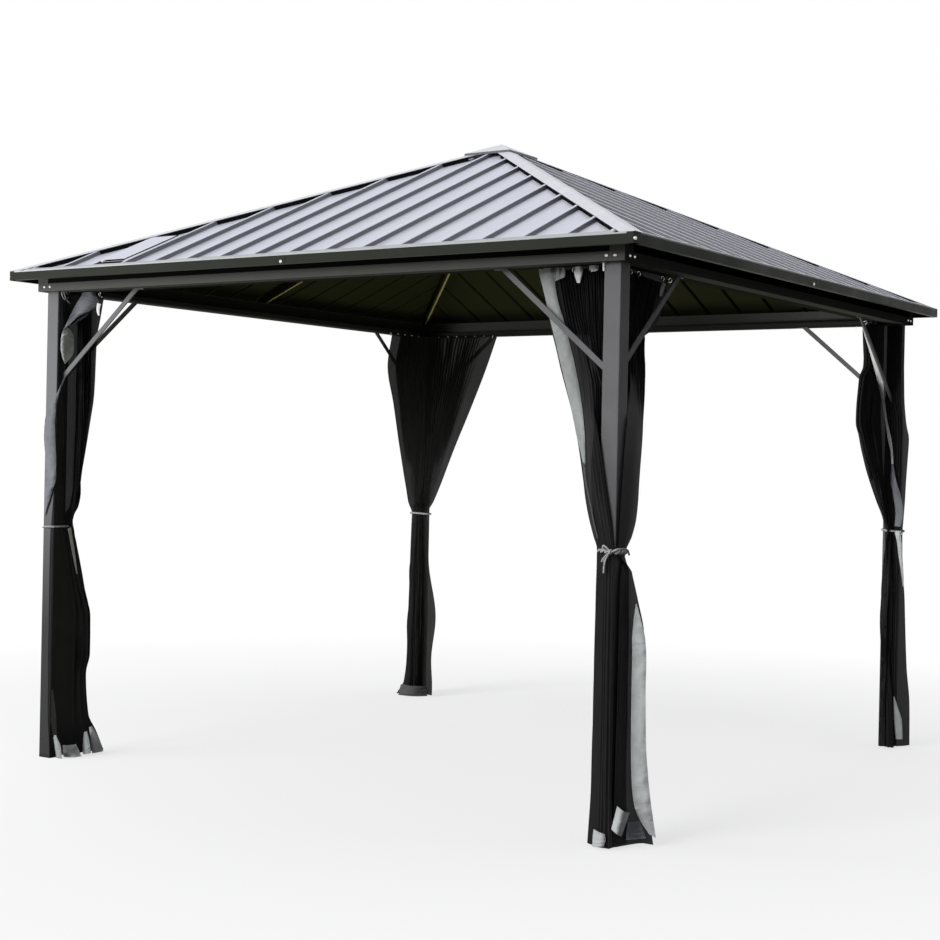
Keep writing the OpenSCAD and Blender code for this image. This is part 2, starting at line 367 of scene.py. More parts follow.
def stretched(tree, vector, scale):
    return add(tree, "ShaderNodeMapping", {"Vector": vector, "Scale": scale}).outputs["Vector"]


def cloud(tree, vector, scale, detail, rough=0.5):
    """Soft noise over a surface."""
    links = {"Vector": vector, "Scale": scale, "Detail": detail, "Roughness": rough}
    return add(tree, "ShaderNodeTexNoise", links).outputs["Fac"]


def blend_colour(tree, factor, a, b):
    return add(tree, "ShaderNodeMix", {0: factor, 6: a, 7: b}, data_type="RGBA").outputs[2]


def tint(tree, tone, mask, amount, other):
    """Moves a tone towards another one where a mask shows, by an amount at most."""
    return blend_colour(tree, maths(tree, "MULTIPLY", mask, amount), tone, other)


def bumped(tree, height, strength, distance, under=None):
    """A bump's normal, on top of another one where there is one."""
    links = {"Height": height, "Strength": strength, "Distance": distance}
    if under is not None:
        links["Normal"] = under
    return add(tree, "ShaderNodeBump", links).outputs["Normal"]


def rgba(c, gain=1.0):
    return (c[0] * gain, c[1] * gain, c[2] * gain, 1.0)


def patina_group():
    """Soft blotches and fine specks of weathering: two masks and a height."""
    if "Weathering" in bpy.data.node_groups:
        return bpy.data.node_groups["Weathering"]
    tree, into, out = new_group(
        "Weathering",
        [("Vector", "NodeSocketVector", None), ("Size", "NodeSocketFloat", 4.0)],
        [("Blotches", "NodeSocketFloat"), ("Specks", "NodeSocketFloat"), ("Height", "NodeSocketFloat")],
    )
    broad = cloud(tree, into.outputs["Vector"], into.outputs["Size"], 6.0, 0.62)
    fine = cloud(tree, into.outputs["Vector"], 260.0, 2.0)
    blotches = span(tree, broad, 0.36, 0.66)
    specks = span(tree, fine, 0.60, 0.74)
    feed(tree, out, {"Blotches": blotches, "Specks": specks, "Height": fine})
    return tree


def streak_group():
    """Rain streaks that run down each slope or face, whichever way it looks."""
    if "Rain streaks" in bpy.data.node_groups:
        return bpy.data.node_groups["Rain streaks"]
    tree, into, out = new_group(
        "Rain streaks", [("Vector", "NodeSocketVector", None)], [("Streaks", "NodeSocketFloat")],
    )
    along_x, along_y = (
        cloud(tree, stretched(tree, into.outputs["Vector"], scale), 1.0, 4.0, 0.6)
        for scale in ((26.0, 0.8, 0.8), (0.8, 26.0, 0.8))
    )
    facing = parts_of(tree, add(tree, "ShaderNodeNewGeometry").outputs["True Normal"])
    x, y = (maths(tree, "ABSOLUTE", facing[i]) for i in (0, 1))
    pick = maths(tree, "GREATER_THAN", x, y)
    mixed = add(tree, "ShaderNodeMix", {0: pick, 2: along_x, 3: along_y}, data_type="FLOAT").outputs[0]
    feed(tree, out, {"Streaks": span(tree, mixed, 0.42, 0.72)})
    return tree


def weave_group():
    """Crossed threads from the cloth's own coordinates, in metres."""
    if "Weave" in bpy.data.node_groups:
        return bpy.data.node_groups["Weave"]
    tree, into, out = new_group(
        "Weave",
        [("Vector", "NodeSocketVector", None), ("Threads per metre", "NodeSocketFloat", 600.0)],
        [("Thread", "NodeSocketFloat"), ("Height", "NodeSocketFloat")],
    )
    place = parts_of(tree, into.outputs["Vector"])
    waves = []
    for i in (0, 1):
        threads = maths(tree, "MULTIPLY", place[i], into.outputs["Threads per metre"])
        wave = maths(tree, "SINE", maths(tree, "MULTIPLY", threads, math.tau))
        waves.append(maths(tree, "MULTIPLY_ADD", wave, 0.5, 0.5))
    top = maths(tree, "MAXIMUM", *waves)
    feed(tree, out, {"Thread": span(tree, top, 0.35, 0.85), "Height": top})
    return tree


# Materials

def once(make):
    """Makes a material when it is first asked for, and hands back the same one after that."""
    def known(name, *values, **settings):
        if name in bpy.data.materials:
            return bpy.data.materials[name]
        return make(name, *values, **settings)

    return known


def new_material(name):
    material = bpy.data.materials.new(name)
    material.use_nodes = True
    tree = material.node_tree
    return material, tree, tree.nodes["Principled BSDF"]


def object_place(tree):
    return add(tree, "ShaderNodeTexCoord").outputs["Object"]


def cloth_place(tree):
    """The cloth's own coordinates, in metres."""
    sizes = bpy.context.scene.gazebo_sizes
    flat = add(tree, "ShaderNodeUVMap", uv_map="cloth").outputs["UV"]
    return stretched(tree, flat, (sizes.net_width, sizes.net_drop, 1.0))


@once
def paint(
    name, base, dusty, rough, specular, blotch=0.25, streak=0.0, peel=0.02, size=5.0, lip=None, foot=0.0,
):
    """Painted steel, cord or plastic: blotches, specks and a faint orange peel.

    Where asked for, it also has rain streaks, a darker foot or the eave trim's pale lip, which is a painted
    highlight.
    """
    material, tree, skin = new_material(name)
    place = object_place(tree)
    worn = use_group(tree, patina_group(), {"Vector": place, "Size": size})
    tone = tint(tree, rgba(base), worn["Blotches"], blotch, rgba(dusty))
    tone = tint(tree, tone, worn["Specks"], 0.30, rgba(base, 0.55))
    if streak:
        run = use_group(tree, streak_group(), {"Vector": place})
        tone = tint(tree, tone, run["Streaks"], streak, rgba(dusty, 0.62))
    if foot:
        shade = span(tree, parts_of(tree, place)[2], FOOT_LOW, FOOT_HIGH, foot, 0.0)
        tone = blend_colour(tree, shade, tone, rgba(base, 0.15))
    # The lip is a painted highlight: the fascia's top edge turned pale
    if lip:
        edge = maths(tree, "GREATER_THAN", parts_of(tree, place)[2], EAVE_Z - LIP_DEPTH)
        tone = blend_colour(tree, edge, tone, rgba(lip))
    feed(tree, skin, {
        "Base Color": tone,
        "Roughness": span(tree, worn["Blotches"], 0.0, 1.0, rough - 0.06, rough + 0.12),
        "Specular IOR Level": specular,
        "Normal": bumped(tree, worn["Height"], peel, 0.002),
    })
    return material


@once
def roof_paint(name, base, metallic, rough):
    """The roof's outside: pale metallic paint lightened by a painted sky reflection, dull streaks, painted
    shade on the ribs' upright sides, deepest where they face the front, and slight waves.
    """
    material, tree, skin = new_material(name)
    place = object_place(tree)
    worn = use_group(tree, patina_group(), {"Vector": place, "Size": 2.2})
    run = use_group(tree, streak_group(), {"Vector": place})
    dull = rgba((base[0] * 0.80, base[1] * 0.80, base[2] * 0.82))
    stained = rgba((base[0] * 0.72, base[1] * 0.72, base[2] * 0.70))
    tone = tint(tree, rgba(base), worn["Blotches"], 0.22, dull)
    tone = tint(tree, tone, run["Streaks"], 0.30, stained)
    tone = tint(tree, tone, worn["Specks"], 0.18, rgba(base, 0.5))
    facing = parts_of(tree, add(tree, "ShaderNodeNewGeometry").outputs["True Normal"])
    # The ribs' upright sides are painted near black: painted shade beside the pale, sky-lit tops
    rib_side_shade = span(tree, facing[2], 0.30, 0.75, 1.0, 0.0)
    tone = tint(tree, tone, rib_side_shade, 0.88, (0.10, 0.10, 0.115, 1.0))
    # Painted shade, deeper still on upright faces that look to the front: darker, rougher and not metallic
    front_side_shade = maths(tree, "MULTIPLY", rib_side_shade, span(tree, facing[1], -0.8, -0.3, 0.6, 0.0))
    even = span(tree, worn["Blotches"], 0.0, 1.0, rough - 0.05, rough + 0.14)
    waves = bumped(tree, cloud(tree, place, 3.2, 1.0), 0.25, 0.012)
    feed(tree, skin, {
        "Base Color": blend_colour(tree, front_side_shade, tone, (0.05, 0.05, 0.06, 1.0)),
        "Roughness": maths(tree, "MAXIMUM", even, maths(tree, "MULTIPLY", front_side_shade, 0.9)),
        "Metallic": span(tree, front_side_shade, 0.0, 1.0, metallic, 0.0),
        "Specular IOR Level": 0.4,
        "Normal": bumped(tree, worn["Height"], 0.02, 0.002, waves),
    })
    return material


@once
def net_material(name, base):
    """Fine black net that lets a little light through between its threads."""
    material, tree, skin = new_material(name)
    cloth = cloth_place(tree)
    threads = use_group(tree, weave_group(), {"Vector": cloth, "Threads per metre": 450.0})
    slack = span(tree, cloud(tree, cloth, 5.0, 4.0), 0.45, 0.75)
    tone = tint(tree, rgba(base), slack, 0.5, rgba(base, 2.4))
    feed(tree, skin, {
        "Base Color": tint(tree, tone, threads["Thread"], 0.35, rgba(base, 1.8)),
        "Roughness": 0.72,
        "Specular IOR Level": 0.06,
        "Sheen Weight": 0.02,
        "Sheen Roughness": 0.5,
        "Alpha": span(tree, threads["Thread"], 0.0, 1.0, 0.955, 0.995),
        "Normal": bumped(tree, threads["Height"], 0.25, 0.0006),
    })
    return material


@once
def binding_material(name, base):
    """Close woven binding tape, unevenly dirtied and softly wrinkled."""
    material, tree, skin = new_material(name)
    cloth = cloth_place(tree)
    threads = use_group(tree, weave_group(), {"Vector": cloth, "Threads per metre": 380.0})
    soil = span(tree, cloud(tree, cloth, 9.0, 6.0, 0.65), 0.35, 0.72)
    tone = blend_colour(tree, soil, rgba(base, 1.12), rgba(base, 0.62))
    wrinkles = cloud(tree, stretched(tree, cloth, (9.0, 26.0, 1.0)), 1.0, 3.0)
    feed(tree, skin, {
        "Base Color": tint(tree, tone, threads["Thread"], 0.25, rgba(base, 0.8)),
        "Roughness": 0.8,
        "Specular IOR Level": 0.2,
        "Sheen Weight": 0.1,
        "Normal": bumped(tree, threads["Height"], 0.3, 0.0008, bumped(tree, wrinkles, 0.6, 0.014)),
    })
    return material


@once
def plated_material(name, base):
    """Zinc-plated steel, slightly dulled."""
    material, tree, skin = new_material(name)
    dulled = use_group(tree, patina_group(), {"Vector": object_place(tree), "Size": 60.0})["Blotches"]
    feed(tree, skin, {
        "Base Color": blend_colour(tree, dulled, rgba(base), rgba(base, 0.72)),
        "Roughness": span(tree, dulled, 0.0, 1.0, 0.28, 0.5),
        "Metallic": 0.85,
    })
    return material


def finishes():
    """Every material of the gazebo, by its short name. Paints list their dust, roughness and specular."""
    c = bpy.context.scene.gazebo_colours
    post, trim = (0.21, 0.21, 0.215), (0.034, 0.036, 0.028)
    # Near-black tones of the dark joints and of painted shade
    black, painted_shade = (0.008, 0.008, 0.008), (0.012, 0.012, 0.011)
    return {
        "post": paint("Post powder coat", c.post, post, 0.55, 0.10, blotch=0.35, streak=0.15, foot=0.92),
        "beam": paint("Beam powder coat", c.beam, (0.13, 0.13, 0.12), 0.55, 0.0, blotch=0.3),
        # Roof and caps: pale paint that carries a painted sky reflection
        "roof": roof_paint("Roof sheet paint", c.roof, 0.35, 0.42),
        "cap": roof_paint("Cap paint", c.cap, 0.35, 0.38),
        # Roof underside, rafters and hub: painted shade with a painted olive reflection of the ground
        "under": paint("Roof underside", c.under, (0.028, 0.028, 0.018), 0.7, 0.0, blotch=0.3),
        # Lips of the rafters: painted light, a lit edge reflected from the ground
        "rafter_lip": paint("Rafter lip", c.rafter_lip, (0.18, 0.17, 0.09), 0.6, 0.1, blotch=0.4),
        # Fascia: dark paint with a painted highlight as its pale top lip
        "fascia": paint("Fascia paint", c.fascia, trim, 0.5, 0.09, blotch=0.3, streak=0.2, lip=c.lip),
        "cover": paint("Corner cover paint", c.fascia, trim, 0.5, 0.09, blotch=0.3),
        # Dark joints and painted shade: near-black strips where gaps would lie in shadow
        "shade": paint("Dark closure foam", black, painted_shade, 0.9, 0.0),
        "cord": paint("Tie cord", c.cord, (0.30, 0.30, 0.30), 0.85, 0.1, blotch=0.5, peel=0.4, size=90.0),
        "strap": paint("White strap", c.strap, (0.62, 0.62, 0.62), 0.7, 0.2, blotch=0.4, size=40.0),
        "plastic": paint("Moulded plastic", c.plastic, (0.06, 0.06, 0.06), 0.6, 0.0, peel=0.06),
        "net": net_material("Curtain net", c.net),
        # Lit and shaded copies of the binding: painted light and painted shade on the tapes
        "clean": binding_material("Clean binding", c.clean),
        "binding": binding_material("Curtain binding", c.binding),
        "dull": binding_material("Dull binding", c.dull),
        "soiled": binding_material("Soiled binding", c.soiled),
        "steel": plated_material("Plated steel", c.steel),
    }


# Frame and roof

class GAZEBO_OT_frame(bpy.types.Operator):
    """Gives the posts, blocks, beams, braces, rafters and feet their finishes"""
    bl_idname = "gazebo.frame"
    bl_label = "Frame finishes"

    def execute(self, context):
        look = finishes()
        groups = {
            "post": ["post_" + c for c in CORNERS] + ["braces_" + c for c in CORNERS],
            "beam": ["beam_" + s for s in SIDES] + ["corner_blocks"],
            # The rafters and hub take the underside's painted shade
            "under": ["hip_rafter_" + c for c in CORNERS] + ["mid_rafters", "rafter_hub"],
            "plastic": ["post_feet", "curtain_rails"],
            "cap": ["hip_cap_" + c for c in CORNERS] + ["apex_cap"],
            "fascia": ["fascia_" + s for s in SIDES],
            "cover": ["corner_plates"],
        }
        for finish, names in groups.items():
            for name in names:
                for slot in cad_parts[name].material_slots:
                    slot.material = look[finish]
        return {"FINISHED"}


# Roof sheet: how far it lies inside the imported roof, at the hips and at the cut corners, the narrowing of a
# rib towards its top, and the room between the last rib and the corner
SHEET_INSET = 0.002
HIP_INSET = 0.0016
CORNER_INSET = 0.003
RIB_TAPER = 0.0025
RIB_MARGIN = 0.06

# Painted shade: dark strips in the valleys and under the loose sheet. Their lower and upper edge under the
# roof's face, their thickness, distance from a hip line, lower end and the room left at the peak, how far they
# stay inside the loose sheet, and their cut corner
SHADE_LOW, SHADE_TOP = -0.0205, -0.0045
SHADE_THICK = 0.0015
SHADE_OFF_HIP = 0.057
SHADE_START, SHADE_PEAK = 0.006, 0.14
SHADE_INSET = 0.007
SHADE_CUT = 0.050

# Loose sheet: depth under the roof's face, its dish, what it is shorter than its box, and its cut corner
LOOSE_DEEP = -0.0016
LOOSE_DISH = 0.0012
LOOSE_SHORT = 0.0008
LOOSE_CUT = 0.042

# Painted shadow lines along the loose sheet's edges: where they start beside its cut corner, inner and outer
# line at its right, lower and upper line at its foot, and height over the roof's face
EDGE_START = 0.052
EDGE_INNER, EDGE_OUTER = 0.036, 0.027
EDGE_LOW, EDGE_HIGH = 0.003, 0.022
EDGE_LIFT = 0.0003


class GAZEBO_OT_roof(bpy.types.Operator):
    """Folds the four ribbed roof slopes, lays the loose sheet and darkens the valleys with strips of painted
    shade
    """
    bl_idname = "gazebo.roof"
    bl_label = "Roof sheets"

    def execute(self, context):
        s = context.scene.gazebo_sizes
        look = finishes()
        lean = math.atan(s.roof_rise / s.roof_half)
        on_slope = Matrix.Translation((0, -s.roof_half, s.eave_height)) @ Matrix.Rotation(lean, 4, "X")
        for k, side in enumerate(SIDES):
            self.slope(s, look, lean, on_slope, k, side)
        self.lifted(s, look, lean, on_slope)
        self.shade_strips(s, look, lean, on_slope)
        return {"FINISHED"}

    def slope(self, s, look, lean, on_slope, k, side):
        """One ribbed sheet, cut along its hips, its corners and the eave."""
        half = s.roof_half
        pan = -(SHEET_INSET + s.rib_height)
        foot, top = s.rib_width / 2, s.rib_width / 2 - RIB_TAPER
        last = int((half - RIB_MARGIN) / s.rib_pitch)
        line = [(-half, pan)]
        for i in range(-last, last + 1):
            x = i * s.rib_pitch
            line += [(x - foot, pan), (x - top, -SHEET_INSET), (x + top, -SHEET_INSET), (x + foot, pan)]
        line.append((half, pan))
        bm = bmesh.new()
        verts = [bm.verts.new((x, SHEET_INSET, z)) for x, z in line]
        edges = [bm.edges.new(pair) for pair in zip(verts, verts[1:])]
        draw_out(bm, edges, (0, half / math.cos(lean), 0))
        bmesh.ops.transform(bm, matrix=on_slope, verts=bm.verts[:])
        corner = (2 * half - CORNER_LEG - CORNER_INSET) / 2
        for way in (1, -1):
            cut_off(bm, (way * HIP_INSET, -HIP_INSET, 0), (way, 1, 0))
        for way in (1, -1):
            cut_off(bm, (way * corner, -corner, 0), (way, -1, 0))
        cut_off(bm, (0, -half + SHEET_INSET, 0), (0, -1, 0))
        face_up(bm)
        bmesh.ops.transform(bm, matrix=turned(k), verts=bm.verts[:])
        paints = [look["roof"], look["under"]]
        obj = finish_piece("roof_sheet_" + side, bm, paints, ["roof_slope_" + side])
        soften(obj, 0.0022)
        line_under(obj, s.sheet_gauge)

    def shade_strips(self, s, look, lean, on_slope):
        """Painted shade: dark strips in the valleys under the hip caps and under the loose sheet, and painted
        shadow lines along that sheet's edges.
        """
        bm = bmesh.new()
        rise = (0, 0, SHADE_TOP - SHADE_LOW)
        ends = (SHADE_START, (s.roof_half - SHADE_PEAK) / math.cos(lean))
        for k in range(4):
            for side in (-1, 1):
                spots = [(side * (s.roof_half - y * math.cos(lean) - SHADE_OFF_HIP), y) for y in ends]
                feet = [bm.verts.new((x, y, SHADE_LOW)) for x, y in spots]
                top = draw_out(bm, [bm.edges.new(feet)], rise)
                bmesh.ops.transform(bm, matrix=turned(k) @ on_slope, verts=feet + top)
        # Painted shade under the loose sheet
        low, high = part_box("lifted_sheet")
        base = (low[1] + s.roof_half) / math.cos(lean)
        near, far = base + SHADE_INSET, base + (high[1] - low[1]) / math.cos(lean) - SHADE_INSET
        left, right = low[0] + SHADE_INSET, high[0] - SHADE_INSET
        outline = [(right, near), (right, far), (left, far)]
        outline += [(left, base + SHADE_CUT), (low[0] + SHADE_CUT, near)]
        feet = [bm.verts.new((x, y, SHADE_LOW)) for x, y in outline]
        edges = [bm.edges.new(pair) for pair in zip(feet, feet[1:] + feet[:1])]
        top = draw_out(bm, edges, rise)
        bmesh.ops.transform(bm, matrix=on_slope, verts=feet + top)
        # Painted shadow lines along the loose sheet's right and lower edges
        left, inner, right = low[0] + EDGE_START, high[0] - EDGE_INNER, high[0] - EDGE_OUTER
        near, fold = base + EDGE_LOW, base + EDGE_HIGH
        outline = [(left, near), (right, near), (right, far), (inner, far), (inner, fold), (left, fold)]
        folded = [bm.verts.new((x, y, EDGE_LIFT)) for x, y in outline]
        bm.faces.new(folded)
        bmesh.ops.transform(bm, matrix=on_slope, verts=folded)
        obj = finish_piece("sheet_shade_strips", bm, [look["shade"]])
        thicken(obj, SHADE_THICK, 0.0)

    def lifted(self, s, look, lean, on_slope):
        """The loose sheet that lies on two ribs, slightly dished and with one corner cut."""
        low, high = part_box("lifted_sheet")
        wide = high[0] - low[0]
        tall = (high[1] - low[1]) / math.cos(lean) - LOOSE_SHORT
        base = (low[1] + s.roof_half) / math.cos(lean)
        bm = bmesh.new()
        bmesh.ops.create_grid(bm, x_segments=24, y_segments=30, size=0.5)
        for v in bm.verts:
            a, b = v.co.x + 0.5, v.co.y + 0.5
            dip = LOOSE_DISH * math.sin(math.pi * a) * math.sin(math.pi * 2.2 * b + 0.4)
            v.co = Vector((low[0] + a * wide, base + b * tall, LOOSE_DEEP + min(dip, 0.001)))
        cut_off(bm, (low[0] + LOOSE_CUT, base, 0), (-1, -1, 0))
        bmesh.ops.transform(bm, matrix=on_slope, verts=bm.verts[:])
        face_up(bm)
        paints = [look["roof"], look["under"]]
        obj = finish_piece("loose_roof_sheet", bm, paints, ["lifted_sheet"], smooth=True)
        line_under(obj, s.sheet_gauge)


# Bolts, joints and lips

# Profile of a domed bolt head on its washer: radius and height
DOME = (
    (0.0, 0.0042), (0.0022, 0.0038), (0.0040, 0.0026), (0.0049, 0.0011), (0.0051, 0.0010), (0.0062, 0.0009),
    (0.0064, 0.0),
)

# Bolts: height over the beam's lower edge, distance before and after the beam's end; the fascia's screw beside
# its middle and over its lower edge; the corner bolt under the eave
BOLT_UP = 0.020
BOLT_BEFORE, BOLT_AFTER = 0.010, 0.023
SCREW_ASIDE, SCREW_UP = -0.005, 0.010
CORNER_BOLT_DOWN = 0.022

# Fascia joint, and a dark strip of painted shadow on the beam's top: their edges, how far each stands out, and
# how deep both are let in
SEAM_LEFT, SEAM_RIGHT = 0.0165, 0.0180
SEAM_UP = 0.001
SEAM_PROUD = 0.0004
EAVE_SHADE_DOWN, EAVE_SHADE_UP = 0.010, 0.020
EAVE_SHADE_PROUD = 0.0012
LET_IN = 0.0002

# Rafters: depth, half width of a hip rafter, distance under the roof's face, and where they leave the hub
RAFTER_DEEP = 0.040
HIP_RAFTER_HALF = 0.014
RAFTER_UNDER = 0.022
RAFTER_START = 0.080


class GAZEBO_OT_bolts(bpy.types.Operator):
    """Turns the domed bolts and makes the fascia joints, the painted shadow strips on the beams and the
    rafters' lower lips, painted lit
    """
    bl_idname = "gazebo.bolts"
    bl_label = "Bolts, joints and lips"

    def execute(self, context):
        look = finishes()
        s = context.scene.gazebo_sizes
        half = s.roof_half
        bolts = bmesh.new()
        joints = bmesh.new()
        z = BEAM_LOW + BOLT_UP
        corner = half - CORNER_LEG / 2
        for k in range(4):
            turn = turned(k)
            out = turn.to_3x3()
            for at, axis in (
                ((BEAM_IN - BOLT_BEFORE, -BEAM_OUT, z), (0, -1, 0)),
                ((BEAM_IN + BOLT_AFTER, -BEAM_OUT, z), (0, -1, 0)),
                ((BEAM_OUT, -BEAM_IN + BOLT_BEFORE, z), (1, 0, 0)),
                ((BEAM_OUT, -BEAM_IN - BOLT_AFTER, z), (1, 0, 0)),
                ((SCREW_ASIDE, -half, FASCIA_LOW + SCREW_UP), (0, -1, 0)),
                ((corner, -corner, EAVE_Z - CORNER_BOLT_DOWN), (1, -1, 0)),
            ):
                add_turning(bolts, DOME, turn @ Vector(at), out @ Vector(axis))
            seam = (SEAM_LEFT, -half - SEAM_PROUD, FASCIA_LOW + SEAM_UP)
            add_block(joints, seam, (SEAM_RIGHT, -half + LET_IN, EAVE_Z - LIP_DEPTH), turn)
            # Painted shadow: a dark strip on the beam's top, where the fascia's overhang shades it
            painted_shade = (-BEAM_IN, BEAM_FACE - EAVE_SHADE_PROUD, FASCIA_LOW - EAVE_SHADE_DOWN)
            add_block(joints, painted_shade, (BEAM_IN, BEAM_FACE + LET_IN, FASCIA_LOW + EAVE_SHADE_UP), turn)
        finish_piece("frame_bolts", bolts, [look["steel"]], smooth=True)
        finish_piece("fascia_joints_and_eave_shade", joints, [look["shade"]])
        self.lips(s, look)
        return {"FINISHED"}

    def lips(self, s, look):
        """Narrow flanges along the lower edges of the rafters, hip and middle in turn, painted yellow-olive:
        painted light reflected up from the ground.
        """
        bm = bmesh.new()
        fall = s.roof_rise / s.roof_half
        wide, thick = 0.009, 0.0025
        for k in range(8):
            stretch = 1.0 if k % 2 else math.sqrt(2)
            sink = 0.0 if k % 2 else HIP_RAFTER_HALF / math.sqrt(2) * fall
            deep = RAFTER_DEEP * math.sqrt(1 + (fall / stretch) ** 2)
            under = s.eave_height - RAFTER_UNDER * math.sqrt(1 + fall ** 2) - sink - deep
            seat = s.roof_half - (BEAM_TOP - under) / fall
            inner, outer = RAFTER_START, seat * stretch - 0.004
            high, low = under + (s.roof_half - inner / stretch) * fall, BEAM_TOP + 0.002
            outline = [(inner, high), (outer, low), (outer, low - thick), (inner, high - thick)]
            place = Matrix.Rotation(math.radians(45 * k - 45), 4, "Z") @ Matrix.Translation((0, -wide / 2, 0))
            add_outline(bm, outline, wide, place)
        finish_piece("rafter_lit_lips", bm, [look["rafter_lip"]])


# Curtains

# Cloth coordinate of each guide line, from the first edge to the second
GUIDES = (0.0, 0.022, 0.07, 0.13, 0.22, 0.50, 0.72, 0.82, 0.90, 0.978, 1.0)

# How full the folds stand across the cloth, where it hangs free and where it lies round the post
FULL_AT = (0.0, 0.022, 0.07, 0.13, 0.22, 0.36, 0.50, 0.61, 0.72, 0.82, 0.90, 0.978, 1.0)
FULL_HIGH = (0.0, 0.25, 0.8, 1.0, 1.2, 2.1, 1.2, 2.1, 1.2, 1.2, 0.8, 0.25, 0.0)
FULL_LOW = (0.0, 0.0, 0.25, 0.3, 0.3, 2.3, 0.9, 2.3, 0.7, 0.3, 0.1, 0.0, 0.0)

# For each curtain: height, then the plan place of each guide line at that height (mm)
FRONT_RIGHT = (
    (1968, (1013, -1300), (1070, -1298), (1098, -1290), (1133, -1287), (1180, -1287), (1283, -1283),
     (1287, -1120), (1287, -1040), (1287, -975), (1290, -918), (1294, -858)),
    (1790, (1056, -1302), (1114, -1300), (1137, -1292), (1167, -1288), (1202, -1286), (1281, -1279),
     (1286, -1160), (1288, -1090), (1291, -1040), (1296, -1010), (1299, -968)),
    (1700, (1085, -1303), (1143, -1301), (1165, -1293), (1195, -1290), (1220, -1284), (1280, -1276),
     (1284, -1190), (1290, -1120), (1300, -1062), (1290, -1100), (1285, -1130)),
    (1600, (1115, -1304), (1173, -1303), (1195, -1300), (1230, -1300), (1245, -1284), (1278, -1272),
     (1284, -1200), (1290, -1125), (1300, -1050), (1296, -1110), (1300, -1150)),
    (1440, (1180, -1328), (1222, -1340), (1262, -1370), (1302, -1396), (1290, -1345), (1276, -1268),
     (1284, -1210), (1292, -1130), (1302, -1055), (1350, -1180), (1393, -1335)),
    (1240, (1249, -1376), (1280, -1386), (1310, -1395), (1345, -1398), (1308, -1388), (1276, -1268),
     (1286, -1215), (1296, -1145), (1305, -1083), (1386, -1270), (1395, -1364)),
    (1170, (1266, -1386), (1294, -1391), (1324, -1396), (1358, -1398), (1310, -1388), (1282, -1268),
     (1290, -1220), (1302, -1155), (1312, -1100), (1390, -1290), (1396, -1373)),
    (1105, (1284, -1390), (1308, -1393), (1338, -1396), (1370, -1397), (1313, -1388), (1288, -1268),
     (1296, -1225), (1306, -1165), (1316, -1118), (1393, -1310), (1396, -1379)),
    (1045, (1304, -1391), (1324, -1393), (1350, -1394), (1378, -1395), (1315, -1387), (1300, -1270),
     (1304, -1240), (1326, -1215), (1342, -1200), (1394, -1325), (1397, -1383)),
    (1000, (1319, -1390), (1336, -1392), (1358, -1392), (1384, -1392), (1316, -1386), (1312, -1272),
     (1316, -1256), (1350, -1266), (1376, -1302), (1393, -1338), (1396, -1384)),
    (930, (1317, -1391), (1336, -1393), (1360, -1393), (1388, -1393), (1313, -1380), (1320, -1268),
     (1334, -1250), (1394, -1312), (1397, -1365), (1399, -1318), (1408, -1308)),
    (840, (1316, -1391), (1335, -1393), (1360, -1393), (1388, -1393), (1312, -1380), (1322, -1266),
     (1344, -1250), (1394, -1312), (1397, -1370), (1405, -1307), (1430, -1303)),
    (720, (1316, -1391), (1335, -1393), (1360, -1393), (1388, -1393), (1312, -1380), (1325, -1264),
     (1350, -1250), (1395, -1312), (1397, -1370), (1409, -1298), (1456, -1300)),
    (220, (1316, -1392), (1336, -1395), (1362, -1396), (1392, -1396), (1311, -1382), (1326, -1262),
     (1354, -1248), (1396, -1312), (1399, -1378), (1416, -1284), (1468, -1292)),
    (8, (1312, -1398), (1336, -1404), (1364, -1405), (1404, -1402), (1306, -1390), (1318, -1252),
     (1356, -1242), (1402, -1308), (1406, -1396), (1450, -1260), (1487, -1262)),
)
